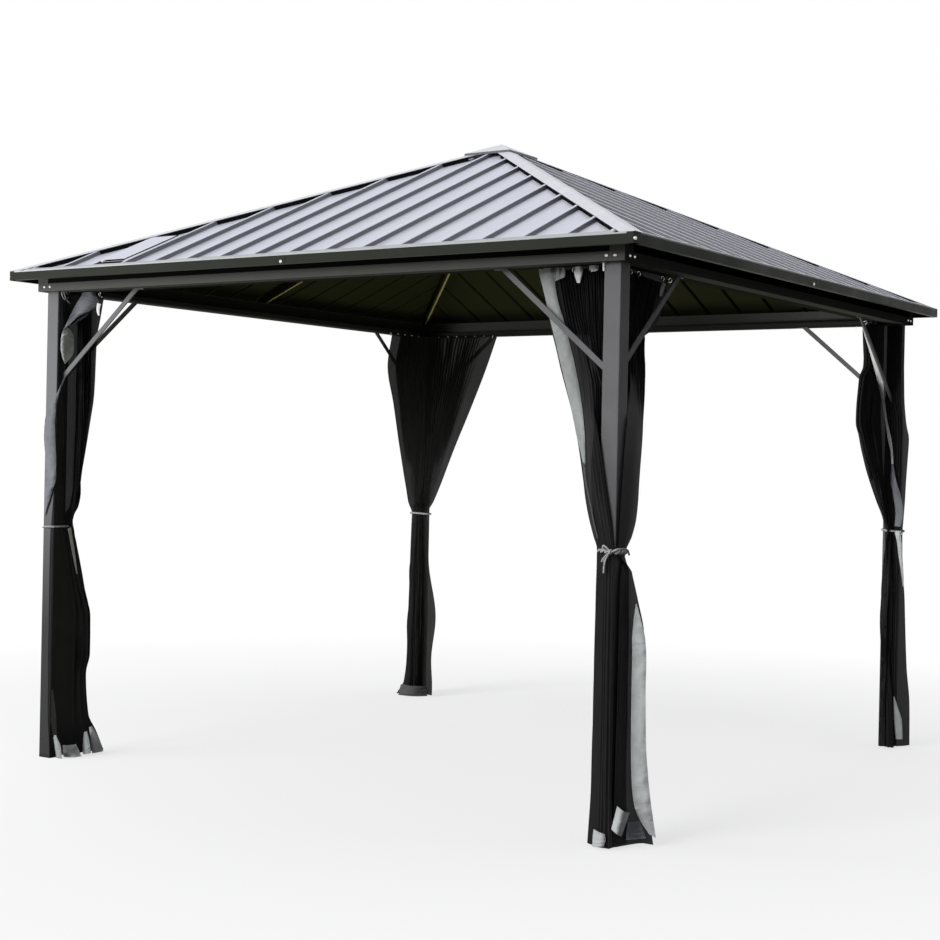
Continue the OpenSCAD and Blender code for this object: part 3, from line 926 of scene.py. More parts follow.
BACK_RIGHT = (
    (1968, (1395, 1345), (1394, 1316), (1376, 1309), (1344, 1307), (1312, 1300), (1298, 1112), (1284, 1262),
     (1275, 1284), (1240, 1288), (1226, 1290), (1208, 1292)),
    (1770, (1395, 1350), (1394, 1316), (1376, 1309), (1344, 1307), (1312, 1298), (1299, 1130), (1284, 1262),
     (1272, 1280), (1246, 1284), (1236, 1286), (1224, 1288)),
    (1720, (1395, 1354), (1394, 1318), (1376, 1309), (1344, 1306), (1313, 1297), (1284, 1104), (1280, 1255),
     (1264, 1272), (1244, 1276), (1240, 1280), (1236, 1284)),
    (1630, (1396, 1360), (1395, 1320), (1380, 1308), (1350, 1304), (1314, 1296), (1276, 1102), (1276, 1250),
     (1260, 1266), (1236, 1270), (1238, 1278), (1244, 1284)),
    (1510, (1404, 1372), (1402, 1340), (1396, 1312), (1366, 1306), (1318, 1296), (1272, 1102), (1274, 1246),
     (1256, 1262), (1232, 1266), (1240, 1276), (1256, 1284)),
    (1440, (1410, 1395), (1408, 1350), (1398, 1312), (1368, 1306), (1322, 1294), (1283, 1122), (1282, 1244),
     (1266, 1260), (1246, 1262), (1254, 1272), (1270, 1282)),
    (1340, (1408, 1388), (1406, 1348), (1397, 1312), (1370, 1306), (1328, 1292), (1297, 1150), (1298, 1240),
     (1284, 1258), (1268, 1262), (1276, 1272), (1292, 1282)),
    (1250, (1406, 1380), (1405, 1346), (1396, 1312), (1372, 1306), (1336, 1292), (1309, 1190), (1314, 1244),
     (1304, 1260), (1292, 1266), (1298, 1276), (1312, 1286)),
    (1150, (1404, 1375), (1403, 1345), (1396, 1312), (1374, 1307), (1346, 1294), (1324, 1235), (1334, 1256),
     (1326, 1266), (1320, 1272), (1326, 1280), (1336, 1290)),
    (1070, (1402, 1368), (1402, 1345), (1396, 1313), (1375, 1307), (1354, 1297), (1344, 1270), (1350, 1274),
     (1342, 1280), (1338, 1285), (1342, 1292), (1350, 1299)),
    (1000, (1400, 1362), (1401, 1345), (1396, 1314), (1376, 1308), (1360, 1300), (1353, 1284), (1358, 1288),
     (1352, 1290), (1350, 1294), (1350, 1300), (1356, 1306)),
    (880, (1402, 1364), (1402, 1345), (1396, 1314), (1376, 1308), (1364, 1300), (1354, 1290), (1362, 1284),
     (1358, 1290), (1356, 1294), (1358, 1300), (1362, 1307)),
    (680, (1418, 1362), (1412, 1345), (1398, 1314), (1376, 1307), (1366, 1300), (1356, 1294), (1364, 1284),
     (1362, 1288), (1360, 1292), (1362, 1298), (1366, 1306)),
    (370, (1428, 1380), (1420, 1352), (1400, 1314), (1378, 1307), (1368, 1302), (1358, 1298), (1366, 1290),
     (1368, 1284), (1370, 1280), (1374, 1284), (1378, 1292)),
    (210, (1442, 1388), (1430, 1356), (1404, 1314), (1382, 1307), (1372, 1302), (1362, 1300), (1370, 1288),
     (1376, 1276), (1382, 1270), (1388, 1276), (1396, 1286)),
    (8, (1448, 1384), (1436, 1352), (1406, 1312), (1386, 1306), (1376, 1300), (1366, 1298), (1376, 1284),
     (1386, 1268), (1396, 1258), (1402, 1266), (1410, 1278)),
)
BACK_LEFT = (
    (1968, (-842, 1300), (-900, 1297), (-940, 1290), (-985, 1287), (-1055, 1287), (-1275, 1280),
     (-1287, 1182), (-1287, 1113), (-1287, 1058), (-1290, 1018), (-1294, 962)),
    (1800, (-905, 1298), (-962, 1296), (-1000, 1290), (-1040, 1287), (-1095, 1285), (-1272, 1278),
     (-1287, 1165), (-1288, 1080), (-1290, 1020), (-1292, 985), (-1296, 930)),
    (1600, (-990, 1294), (-1040, 1292), (-1070, 1288), (-1100, 1286), (-1140, 1284), (-1275, 1275),
     (-1290, 1185), (-1292, 1110), (-1294, 1060), (-1296, 1035), (-1299, 992)),
    (1350, (-1105, 1292), (-1140, 1290), (-1160, 1288), (-1180, 1286), (-1205, 1284), (-1280, 1274),
     (-1298, 1208), (-1302, 1160), (-1305, 1125), (-1307, 1105), (-1309, 1075)),
    (1150, (-1190, 1290), (-1212, 1289), (-1222, 1288), (-1234, 1286), (-1250, 1284), (-1290, 1276),
     (-1312, 1240), (-1320, 1212), (-1325, 1195), (-1328, 1185), (-1332, 1168)),
    (1060, (-1234, 1290), (-1248, 1293), (-1258, 1294), (-1268, 1294), (-1280, 1291), (-1306, 1276),
     (-1330, 1262), (-1342, 1252), (-1350, 1246), (-1354, 1240), (-1358, 1232)),
    (1000, (-1274, 1293), (-1282, 1299), (-1290, 1301), (-1300, 1302), (-1310, 1299), (-1326, 1276),
     (-1346, 1290), (-1360, 1300), (-1370, 1305), (-1375, 1306), (-1381, 1300)),
    (930, (-1260, 1289), (-1276, 1297), (-1286, 1300), (-1297, 1301), (-1308, 1298), (-1326, 1273),
     (-1346, 1289), (-1361, 1299), (-1370, 1304), (-1376, 1305), (-1382, 1298)),
    (740, (-1250, 1285), (-1270, 1294), (-1283, 1298), (-1296, 1300), (-1308, 1297), (-1325, 1266),
     (-1345, 1286), (-1362, 1298), (-1371, 1303), (-1377, 1303), (-1384, 1295)),
    (430, (-1192, 1280), (-1238, 1290), (-1262, 1296), (-1285, 1299), (-1305, 1296), (-1325, 1259),
     (-1345, 1283), (-1362, 1297), (-1372, 1301), (-1378, 1300), (-1387, 1292)),
    (200, (-1216, 1280), (-1248, 1290), (-1266, 1295), (-1285, 1298), (-1305, 1295), (-1325, 1255),
     (-1345, 1280), (-1362, 1295), (-1372, 1299), (-1379, 1297), (-1389, 1288)),
    (70, (-1204, 1276), (-1242, 1286), (-1264, 1292), (-1285, 1296), (-1305, 1292), (-1325, 1250),
     (-1346, 1274), (-1363, 1290), (-1373, 1292), (-1381, 1286), (-1391, 1268)),
    (8, (-1200, 1270), (-1240, 1280), (-1262, 1286), (-1285, 1291), (-1305, 1288), (-1325, 1242),
     (-1347, 1262), (-1364, 1272), (-1375, 1262), (-1382, 1240), (-1388, 1196)),
)
FRONT_LEFT = (
    (1968, (-1172, -1300), (-1248, -1304), (-1311, -1372), (-1310, -1340), (-1300, -1300), (-1288, -1280),
     (-1288, -1250), (-1288, -1225), (-1288, -1200), (-1289, -1185), (-1290, -1150)),
    (1880, (-1225, -1303), (-1300, -1312), (-1311, -1373), (-1310, -1340), (-1299, -1298), (-1287, -1272),
     (-1287, -1245), (-1287, -1225), (-1287, -1200), (-1288, -1185), (-1289, -1168)),
    (1800, (-1312, -1378), (-1311, -1366), (-1310, -1348), (-1309, -1326), (-1298, -1294), (-1287, -1268),
     (-1287, -1242), (-1287, -1225), (-1287, -1205), (-1287, -1198), (-1288, -1186)),
    (1540, (-1312, -1380), (-1310, -1366), (-1307, -1348), (-1302, -1324), (-1296, -1290), (-1291, -1262),
     (-1286, -1242), (-1286, -1226), (-1285, -1213), (-1286, -1206), (-1286, -1200)),
    (1430, (-1312, -1384), (-1310, -1366), (-1307, -1348), (-1302, -1324), (-1296, -1290), (-1291, -1266),
     (-1287, -1250), (-1287, -1240), (-1286, -1230), (-1286, -1224), (-1287, -1218)),
    (1340, (-1312, -1386), (-1310, -1366), (-1307, -1348), (-1302, -1324), (-1296, -1292), (-1291, -1270),
     (-1288, -1258), (-1287, -1250), (-1286, -1242), (-1287, -1238), (-1288, -1234)),
    (1180, (-1314, -1390), (-1311, -1372), (-1308, -1350), (-1303, -1326), (-1296, -1298), (-1292, -1280),
     (-1290, -1274), (-1289, -1270), (-1287, -1266), (-1290, -1264), (-1294, -1262)),
    (1070, (-1322, -1391), (-1313, -1384), (-1310, -1356), (-1308, -1330), (-1300, -1306), (-1300, -1292),
     (-1308, -1282), (-1314, -1278), (-1320, -1276), (-1326, -1277), (-1334, -1279)),
    (1000, (-1328, -1391), (-1314, -1388), (-1310, -1362), (-1308, -1334), (-1308, -1312), (-1334, -1288),
     (-1350, -1284), (-1358, -1284), (-1364, -1286), (-1368, -1289), (-1374, -1293)),
    (960, (-1332, -1391), (-1314, -1386), (-1307, -1342), (-1299, -1296), (-1306, -1290), (-1336, -1281),
     (-1351, -1277), (-1359, -1278), (-1365, -1281), (-1369, -1286), (-1374, -1291)),
    (870, (-1334, -1391), (-1314, -1384), (-1304, -1320), (-1293, -1278), (-1300, -1266), (-1338, -1276),
     (-1352, -1272), (-1360, -1274), (-1366, -1279), (-1370, -1285), (-1375, -1290)),
    (740, (-1334, -1391), (-1313, -1380), (-1302, -1295), (-1286, -1252), (-1298, -1236), (-1338, -1268),
     (-1352, -1266), (-1360, -1270), (-1366, -1277), (-1370, -1284), (-1375, -1290)),
    (590, (-1332, -1391), (-1313, -1378), (-1300, -1275), (-1285, -1200), (-1300, -1206), (-1336, -1262),
     (-1351, -1262), (-1360, -1268), (-1366, -1276), (-1370, -1283), (-1375, -1289)),
    (430, (-1332, -1391), (-1313, -1378), (-1300, -1275), (-1285, -1198), (-1300, -1208), (-1336, -1262),
     (-1351, -1262), (-1360, -1268), (-1366, -1276), (-1370, -1283), (-1375, -1289)),
    (350, (-1330, -1391), (-1313, -1378), (-1300, -1280), (-1287, -1218), (-1300, -1222), (-1336, -1262),
     (-1351, -1262), (-1360, -1268), (-1366, -1276), (-1370, -1283), (-1375, -1289)),
    (170, (-1326, -1391), (-1312, -1378), (-1299, -1275), (-1284, -1200), (-1299, -1212), (-1336, -1260),
     (-1351, -1259), (-1360, -1265), (-1366, -1273), (-1371, -1281), (-1376, -1288)),
    (95, (-1318, -1391), (-1310, -1374), (-1296, -1265), (-1278, -1158), (-1297, -1182), (-1336, -1256),
     (-1351, -1255), (-1360, -1260), (-1366, -1268), (-1371, -1277), (-1377, -1285)),
    (8, (-1309, -1392), (-1303, -1335), (-1285, -1245), (-1268, -1122), (-1294, -1152), (-1336, -1250),
     (-1351, -1248), (-1360, -1252), (-1367, -1260), (-1373, -1270), (-1380, -1279)),
)

# Guide table, the height above which the folds hang free of the post, and a seed for the folds
CURTAINS = {
    "front_right": (FRONT_RIGHT, 1.45, 11.0),
    "back_right": (BACK_RIGHT, 3.0, 23.0),
    "back_left": (BACK_LEFT, 1.25, 37.0),
    "front_left": (FRONT_LEFT, 3.0, 53.0),
}

# Tapes that show on each curtain: finish, upright plane, how far the tape crowns for its width, then, line by
# line down its length, the photograph's pixels of its left and right edge. They are laid on the net or post
# behind them. The last number is the plane's place (mm): it tells which layer is meant, and serves where none
# is met
# A tape's finish is picked for how lit it looks: its lit and shaded copies carry painted light and shade
BINDINGS = {
    "front_right": (
        ("binding", "y", 0.10, (
            (538.5, 271, 554, 264.5, -1308), (541, 281, 555, 283, -1309), (545, 297, 558, 301, -1309),
            (550, 320, 564, 321, -1310), (554.5, 338, 569, 341, -1311), (560, 362, 575, 366, -1314),
            (567.5, 393, 580.5, 396, -1322), (573, 418, 583.5, 420, -1342), (577, 438, 585, 441, -1368),
            (580.5, 452, 585.2, 456, -1384), (583, 464, 585.4, 467, -1392))),
        ("soiled", "y", 0.30, (
            (582.5, 462, 585.6, 465, -1394), (584.5, 480, 587, 481, -1401), (588.5, 499, 590.6, 500, -1406),
            (592.6, 520, 594.4, 521, -1407), (597, 538, 598.4, 539, -1405))),
        ("binding", "y", 0.10, (
            (554, 265, 554, 282, -1307), (560, 266, 559.5, 279.5, -1306), (565.5, 269, 565, 277, -1303))),
        ("strap", "y", 0.25, (
            (575, 263, 582, 263, -1303), (574, 272, 583, 271, -1307), (577, 283, 580, 283, -1305))),
        ("strap", "y", 0.15, (
            (590, 262, 598, 262, -1303), (589.5, 267, 599, 267, -1307), (591, 272, 597.5, 271, -1305))),
        ("strap", "y", 0.15, (
            (602.5, 260, 604.6, 260, -1303), (602.8, 271, 604.4, 271, -1305))),
        ("dull", "x", 0.10, (
            (641, 268, 642, 275.5, 1308), (650, 270.5, 651, 279, 1309), (661, 275, 662, 283, 1306))),
        ("strap", "x", 0.10, (
            (662.8, 282, 666, 284.5, 1308), (660.3, 288, 663.6, 290, 1312),
            (659.5, 296, 661.8, 296.5, 1310))),
        ("clean", "y", 0.04, (
            (635.8, 604, 636.8, 604, -1304), (633.4, 622, 641.2, 621, -1304), (632, 641, 645.5, 641, -1305),
            (632, 660, 646.3, 660, -1306), (631.3, 695, 645.6, 695, -1306), (630.8, 742, 646, 742, -1304),
            (631.2, 775, 648, 775, -1302), (634, 804, 650.7, 802, -1299), (640, 820, 653, 818, -1296),
            (649, 834, 655.8, 838, -1292))),
        ("dull", "y", 0.10, (
            (628, 822, 640, 821, -1330), (626.5, 832, 643, 830, -1325), (626, 840, 646, 838, -1320))),
        ("clean", "y", 0.55, (
            (617, 806, 629.5, 812.5, -1414), (614, 818, 625.5, 825, -1416),
            (611.3, 829, 621.5, 836.5, -1414))),
        ("clean", "y", 0.25, (
            (593.5, 829, 605, 834, -1410), (592.6, 838, 605.5, 840, -1412), (592.2, 846, 604, 846, -1408))),
    ),
    "back_right": (
        ("strap", "y", 0.05, (
            (862, 327, 865.5, 326, 1035), (866.5, 342, 871.5, 344, 1060), (871, 357, 876.5, 358, 1085),
            (875, 372, 881, 371, 1120), (878.5, 386, 883.5, 386, 1160), (881.8, 402, 884.8, 403, 1205),
            (885.4, 422, 887.4, 421, 1245), (888, 440, 891.5, 440, 1266), (890.5, 452, 892.7, 452, 1280),
            (891.5, 465, 893.3, 465, 1286))),
        ("dull", "y", 0.15, (
            (891.5, 464, 893.3, 464, 1286), (890.5, 480, 896, 480, 1290), (893, 495, 901, 497, 1293),
            (895.5, 513, 903.5, 512, 1294), (894.5, 526, 900.5, 527, 1294))),
        ("clean", "y", 0.15, (
            (894.5, 531, 900.3, 531, 1296), (897, 543, 901.7, 546, 1297), (898.5, 556, 902.8, 562, 1297),
            (901, 573, 903.7, 580, 1297), (902.7, 586, 903.8, 588, 1297))),
        ("binding", "y", 0.15, (
            (893.4, 697, 894.2, 696, 1262), (893.5, 706, 898, 708, 1258), (894, 721, 902, 722, 1254),
            (895.5, 739, 902.5, 739, 1252))),
    ),
    "back_left": (
        ("soiled", "y", 0.20, (
            (401, 684, 427, 686, 1190), (399, 691, 427, 693, 1188), (398, 697, 428, 697, 1186))),
    ),
    "front_left": (
        ("dull", "y", 0.12, (
            (84, 291, 95, 292, -1306), (80, 298, 99, 303, -1309), (74, 308, 94, 308.5, -1318),
            (69, 318, 78, 317, -1350), (63.8, 329, 66, 328.5, -1388))),
        ("clean", "y", 0.12, (
            (63.6, 328, 67, 326.5, -1386), (61.2, 338, 73.5, 336, -1374), (60.6, 347, 74, 346, -1370),
            (61.8, 355, 73, 354, -1368), (64.6, 364, 66, 363.5, -1366))),
        ("dull", "y", 0.12, (
            (71.5, 364.5, 72.5, 367, -1340), (65, 375.5, 64.8, 380, -1366), (58, 391, 58.5, 397, -1394),
            (50, 405.5, 56, 408.5, -1396), (45, 420, 55, 424, -1396), (44, 438, 55.5, 442, -1396),
            (45.2, 456, 56.3, 460, -1396), (45.4, 477, 56.2, 477, -1396), (44.8, 488, 53.5, 488, -1396),
            (44.4, 502, 49, 502, -1396), (44.1, 515, 44.8, 515, -1396))),
        ("strap", "y", 0.15, (
            (97, 303, 101, 304, -1308), (96.5, 310, 99.5, 311, -1310), (98, 315.5, 99.5, 315.5, -1308))),
        ("clean", "x", 0.10, (
            (67.5, 529, 71, 527, -1294), (69.5, 538, 73, 540, -1290), (72, 552, 75, 553, -1286),
            (76.5, 574, 77.5, 574, -1282))),
        ("soiled", "x", 0.10, (
            (51.5, 690, 53, 690, -1305), (51, 715, 56, 715, -1304), (53, 737, 57, 737, -1302))),
        ("binding", "y", 0.15, (
            (53, 735, 56, 735, -1368), (55, 748, 61, 748, -1364), (56.5, 760, 62, 760, -1360))),
        # Hem patch in the white strap's finish: painted light on the hem
        ("strap", "y", 0.30, (
            (63, 745, 76, 744, -1298), (63, 752, 80, 752, -1294), (64, 759.5, 82, 758, -1290))),
        ("clean", "y", 0.30, (
            (84, 732, 87, 731, -1226), (83, 745, 90, 744, -1222), (83, 754, 91, 753, -1218))),
        # Hem patch in the white strap's finish: painted light on the hem
        ("strap", "y", 0.30, (
            (89, 727, 92, 726, -1182), (90.5, 738, 98, 737, -1176), (92, 753, 103.5, 751, -1172))),
    ),
}


# Strips that look narrower than this many pixels turn to face the front
NARROW = 9

# Net: grid columns in a fold, rows down the drop, lowest point over the ground, and gap to the post
FOLD_COLUMNS = 8
NET_ROWS = 104
NET_LOWEST = 0.003
POST_GAP = 0.005

# Folds: height over which they come free of the post, their share at the tie, and the height over which they
# grow full again
FREE_OVER = 0.2
TIED_SHARE, TIED_OVER = 0.45, 0.30

# Strips: grid columns across, rows between two given lines, lowest point, gap to what lies behind, how far
# that may be from the given depth, and depth of the creases for the strip's width
STRIP_COLUMNS = 8
STRIP_ROWS = 10
STRIP_LOWEST = 0.002
STRIP_GAP = 0.006
STRIP_REACH = 0.13
STRIP_CREASE = 0.13

# Order of the finishes among a binding's materials: lit and shaded copies of the tape, which paint its light
# and shade, and the white strap
BINDING_FINISHES = ("clean", "binding", "dull", "soiled", "strap")


def aim(px, py):
    """The way from the camera through a pixel of the photograph, one metre long straight ahead."""
    right, up = (px - PHOTO_MIDDLE) / PHOTO_FOCAL, (py - PHOTO_MIDDLE) / PHOTO_FOCAL
    return LOOK_AHEAD + LOOK_RIGHT * right - LOOK_UP * up


def sight(px, py, plane, depth):
    """The point of an upright plane that a pixel of the photograph shows."""
    ray = aim(px, py)
    axis = "xy".index(plane)
    return LOOK_FROM + ray * (depth - LOOK_FROM[axis]) / ray[axis]


class GAZEBO_OT_curtains(bpy.types.Operator):
    """Hangs, gathers and ties back the four net curtains and lays on their bindings"""
    bl_idname = "gazebo.curtains"
    bl_label = "Net curtains"

    def execute(self, context):
        s = context.scene.gazebo_sizes
        look = finishes()
        for corner, (table, free_from, seed) in CURTAINS.items():
            net = self.hang(s, look, corner, table, free_from, seed)
            trim = self.bind(s, look, corner, net)
        return {"FINISHED"}

    def hang(self, s, look, corner, table, free_from, seed):
        """One net: a grid that follows the guide lines, thrown into folds and kept off its post."""
        levels = [row[0] / 1000 for row in reversed(table)]
        guides = [
            [through(levels, [row[1 + g][axis] / 1000 for row in reversed(table)]) for axis in (0, 1)]
            for g in range(len(GUIDES))
        ]
        high, low = through(FULL_AT, FULL_HIGH), through(FULL_AT, FULL_LOW)
        top, bottom = levels[-1], levels[0]
        post = [Vector(end[:2]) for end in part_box("post_" + corner)]
        paths = []
        for j in range(NET_ROWS + 1):
            z = top + (bottom - top) * j / NET_ROWS
            paths.append((z, [through(GUIDES, [guide[axis](z) for guide in guides]) for axis in (0, 1)]))
        bm = bmesh.new()
        bm.loops.layers.uv.new("cloth")
        columns = FOLD_COLUMNS * s.pleats
        bmesh.ops.create_grid(bm, x_segments=columns, y_segments=NET_ROWS, size=1.0, calc_uvs=True)
        step = 1e-3
        per_fold = s.net_width / s.pleats
        for v in bm.verts:
            u, j = (v.co.x + 1) / 2, round((1 - v.co.y) / 2 * NET_ROWS)
            z, (px, py) = paths[j]
            a, b = max(u - step, 0.0), min(u + step, 1.0)
            along = Vector((px(b) - px(a), py(b) - py(a)))
            run = along.length / (b - a) / s.pleats
            free = min(max((z - free_from) / FREE_OVER, 0.0), 1.0)
            full = high(u) * free + low(u) * (1 - free)
            full *= TIED_SHARE + (1 - TIED_SHARE) * min(abs(z - TIE_Z) / TIED_OVER, 1.0)
            depth = 0.25 * math.sqrt(max(per_fold ** 2 - run ** 2, 0.0)) * full
            depth *= 0.92 + 0.45 * noise.noise(Vector((u * 13.0, z * 0.9, seed)))
            slack = noise.noise(Vector((u * 5.0, z * 0.7, seed + 3.1)))
            phase = math.tau * (u * s.pleats + 0.45 * slack + 0.10 * math.sin(2.3 * z + 11 * u + seed))
            side = Vector((-along.y, along.x)).normalized() if along.length > 1e-9 else Vector((0, 0))
            spot = Vector((px(u), py(u))) + side * depth * math.sin(phase)
            crease = Vector((u * 40, z * 6, seed))
            spot += 0.003 * full * Vector((noise.noise(crease), noise.noise(crease + Vector((0, 0, 9)))))
            spot = self.off_post(spot, post)
            drop = 0.006 * noise.noise(Vector((u * 9.0, 0.3, seed))) if j == NET_ROWS else 0.0
            v.co = Vector((spot.x, spot.y, max(z + drop, NET_LOWEST)))
        bm.normal_update()
        paints = [look["net"]]
        return finish_piece("net_curtain_" + corner, bm, paints, ["curtain_" + corner], smooth=True)

    def off_post(self, spot, post):
        """Presses a fold that would enter the post flat against its nearest face."""
        room = [(spot[i] - post[0][i] + POST_GAP, i, -1) for i in (0, 1)]
        room += [(post[1][i] + POST_GAP - spot[i], i, 1) for i in (0, 1)]
        depth, axis, way = min(room)
        if depth <= 0:
            return spot
        moved = spot.copy()
        moved[axis] += way * depth
        return moved

    def bind(self, s, look, corner, net):
        """The pale tapes, hems and straps that turn outwards on one curtain."""
        bm = bmesh.new()
        uv = bm.loops.layers.uv.new("cloth")
        behind = self.behind(corner, net)
        columns = STRIP_COLUMNS
        for n, (finish, plane, bulge, rows) in enumerate(BINDINGS[corner]):
            steps = STRIP_ROWS * (len(rows) - 1)
            rays, spare = self.rays(plane, rows, steps)
            away = self.lay(behind, rays, spare)
            if max(abs(r[2] - r[0]) for r in rows) < NARROW:
                self.stand(plane, rays, away)
            grid = bmesh.ops.create_grid(bm, x_segments=columns, y_segments=steps, size=1.0, calc_uvs=True)
            made = grid["verts"]
            wide = 0.0
            for v in made:
                i, k = round((1 - v.co.y) / 2 * steps), round((v.co.x + 1) / 2 * columns)
                a, b = (LOOK_FROM + rays[i, end] * away[i, end] for end in (0, columns))
                across, down = k / columns, i / STRIP_ROWS
                crown = bulge * math.sin(math.pi * across)
                crease = Vector((across * 1.6 + down * 0.9, down * 3.1, n * 7.0))
                crown += STRIP_CREASE * abs(noise.noise(crease))
                v.co = LOOK_FROM + rays[i, k] * away[i, k] - LOOK_AHEAD * crown * (b - a).length
                v.co.z = max(v.co.z, STRIP_LOWEST)
                wide = max(wide, (b - a).length)
            ends = [LOOK_FROM + rays[i, 0] * away[i, 0] for i in (0, steps)]
            tall = (ends[1] - ends[0]).length
            for face in {f for v in made for f in v.link_faces}:
                face.material_index = BINDING_FINISHES.index(finish)
                for loop in face.loops:
                    flat = loop[uv].uv
                    loop[uv].uv = (flat.x * wide / s.net_width, flat.y * tall / s.net_drop)
        paints = [look[f] for f in BINDING_FINISHES]
        return finish_piece("curtain_binding_" + corner, bm, paints, smooth=True)

    def rays(self, plane, rows, steps):
        """The camera's ray to each point of a strip's grid, and how far along it the given plane lies."""
        lines = [through(range(len(rows)), [r[i] for r in rows]) for i in range(5)]
        rays, spare = {}, {}
        for i in range(steps + 1):
            left, top, right, low, depth = (line(i / STRIP_ROWS) for line in lines)
            for k in range(STRIP_COLUMNS + 1):
                px, py = left + (right - left) * k / STRIP_COLUMNS, top + (low - top) * k / STRIP_COLUMNS
                rays[i, k] = aim(px, py)
                spare[i, k] = (sight(px, py, plane, depth / 1000) - LOOK_FROM).dot(LOOK_AHEAD)
        return rays, spare

    def stand(self, plane, rays, away):
        """Turns a narrow strip to face the front: each row stays upright at its foremost point."""
        axis = "xy".index(plane)
        foremost = min if plane == "y" else max
        front = {}
        for (i, k), ray in rays.items():
            met = (LOOK_FROM + ray * away[i, k])[axis]
            front[i] = foremost(met, front.get(i, met))
        for (i, k), ray in rays.items():
            away[i, k] = (front[i] - LOOK_FROM[axis]) / ray[axis]

    def behind(self, corner, net):
        """What the bindings of a curtain can lie on: its net and its post."""
        spots = [v.co for v in net.data.vertices]
        faces = [tuple(p.vertices) for p in net.data.polygons]
        low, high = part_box("post_" + corner)
        first = len(spots)
        xs, ys, zs = zip(low, high)
        spots += [Vector((x, y, z)) for x in xs for y in ys for z in zs]
        for quad in ((0, 1, 3, 2), (4, 6, 7, 5), (0, 4, 5, 1), (2, 3, 7, 6)):
            faces.append(tuple(first + q for q in quad))
        return BVHTree.FromPolygons(spots, faces)

    def lay(self, behind, rays, spare):
        """How far along each ray a strip lies.

        It lies just before what the ray meets, or level with the nearest ray that meets something, smoothed.
        """
        met = {}
        for spot, ray in rays.items():
            gone = behind.ray_cast(LOOK_FROM, ray)[3]
            if gone is not None and abs(gone / ray.length - spare[spot]) < STRIP_REACH:
                met[spot] = gone / ray.length
        if not met:
            return spare
        away = {}
        for i, k in rays:
            away[i, k] = met[min(met, key=lambda m: (m[0] - i) ** 2 + (m[1] - k) ** 2)]
        around = {}
        for i, k in rays:
            window = [(i + a, k + b) for a in range(-2, 3) for b in (-1, 0, 1)]
            around[i, k] = [q for q in window if q in rays]
        near = {spot: min(away[q] for q in around[spot]) for spot in rays}
        return {spot: sum(near[q] for q in around[spot]) / len(around[spot]) - STRIP_GAP for spot in rays}


# For each tie: height over the band's middle, strand radius, and plan corners of the loop round post and net
TIES = {
    "front_right": (0.0, 0.0040, (
        (1.397, -1.399), (1.3175, -1.398), (1.303, -1.272), (1.320, -1.246), (1.356, -1.254),
        (1.402, -1.345))),
    "back_right": (0.012, 0.0028, (
        (1.390, 1.391), (1.3145, 1.391), (1.3145, 1.313), (1.346, 1.276), (1.400, 1.306), (1.4055, 1.368))),
    "back_left": (0.0, 0.0028, (
        (-1.390, 1.390), (-1.391, 1.294), (-1.352, 1.266), (-1.300, 1.264), (-1.268, 1.288),
        (-1.310, 1.390))),
    "front_left": (-0.021, 0.0024, (
        (-1.3895, -1.391), (-1.312, -1.3955), (-1.302, -1.314), (-1.338, -1.280), (-1.384, -1.287),
        (-1.390, -1.310))),
}

# Cords: strand radii in one twist, steps in a twist, how far a loop sags, steps between two given points
TWIST_RADII = 9
TWIST_STEPS = 8
LOOP_SAG = 0.003
CORD_STEPS = 8

# Faces that the knots lie on, then the slack loops and tails of the knots and their strand radius
KNOT_FRONT, KNOT_SIDE = -1.4085, 1.4085
BOWS = (
    (0.0034, (
        (1.380, KNOT_FRONT, 1.000), (1.366, KNOT_FRONT - 0.005, 1.014), (1.356, KNOT_FRONT - 0.006, 1.020),
        (1.352, KNOT_FRONT - 0.004, 1.012), (1.364, KNOT_FRONT - 0.003, 1.002), (1.380, KNOT_FRONT, 0.999))),
    (0.0034, (
        (1.380, KNOT_FRONT, 0.999), (1.366, KNOT_FRONT - 0.004, 0.988), (1.354, KNOT_FRONT - 0.006, 0.974),
        (1.350, KNOT_FRONT - 0.004, 0.966), (1.358, KNOT_FRONT - 0.002, 0.972), (1.372, KNOT_FRONT, 0.992))),
    (0.0034, (
        (1.376, KNOT_FRONT, 0.998), (1.364, KNOT_FRONT - 0.003, 0.975), (1.358, KNOT_FRONT - 0.004, 0.950),
        (1.357, KNOT_FRONT - 0.004, 0.928))),
    (0.0034, (
        (1.384, KNOT_FRONT, 1.000), (1.398, KNOT_FRONT - 0.003, 1.006), (KNOT_SIDE, -1.398, 1.010),
        (KNOT_SIDE + 0.003, -1.372, 1.009), (KNOT_SIDE + 0.003, -1.349, 1.005),
        (KNOT_SIDE + 0.002, -1.334, 0.988))),
    (0.0024, (
        (KNOT_SIDE + 0.008, 1.300, 1.004), (KNOT_SIDE + 0.010, 1.286, 1.006),
        (KNOT_SIDE + 0.009, 1.272, 0.990), (KNOT_SIDE + 0.008, 1.268, 0.962))),
    (0.0024, (
        (-1.392, -1.340, 0.988), (-1.398, -1.346, 0.974), (-1.399, -1.348, 0.950), (-1.398, -1.344, 0.930))),
    (0.0024, (
        (-1.340, 1.393, 1.000), (-1.346, 1.399, 0.984), (-1.348, 1.400, 0.950), (-1.344, 1.399, 0.930))),
)

# The knots themselves: place and the way the cord runs through
KNOTS = (
    ((1.380, KNOT_FRONT + 0.001, 1.000), (1, 0, 0)),
    ((KNOT_SIDE + 0.005, 1.300, 1.001), (0, 1, 0)),
    ((-1.392, -1.340, 0.989), (0, 1, 0)),
    ((-1.340, 1.392, 1.001), (1, 0, 0)),
)
KNOT_REACH, KNOT_RADIUS = 0.0065, 0.0034

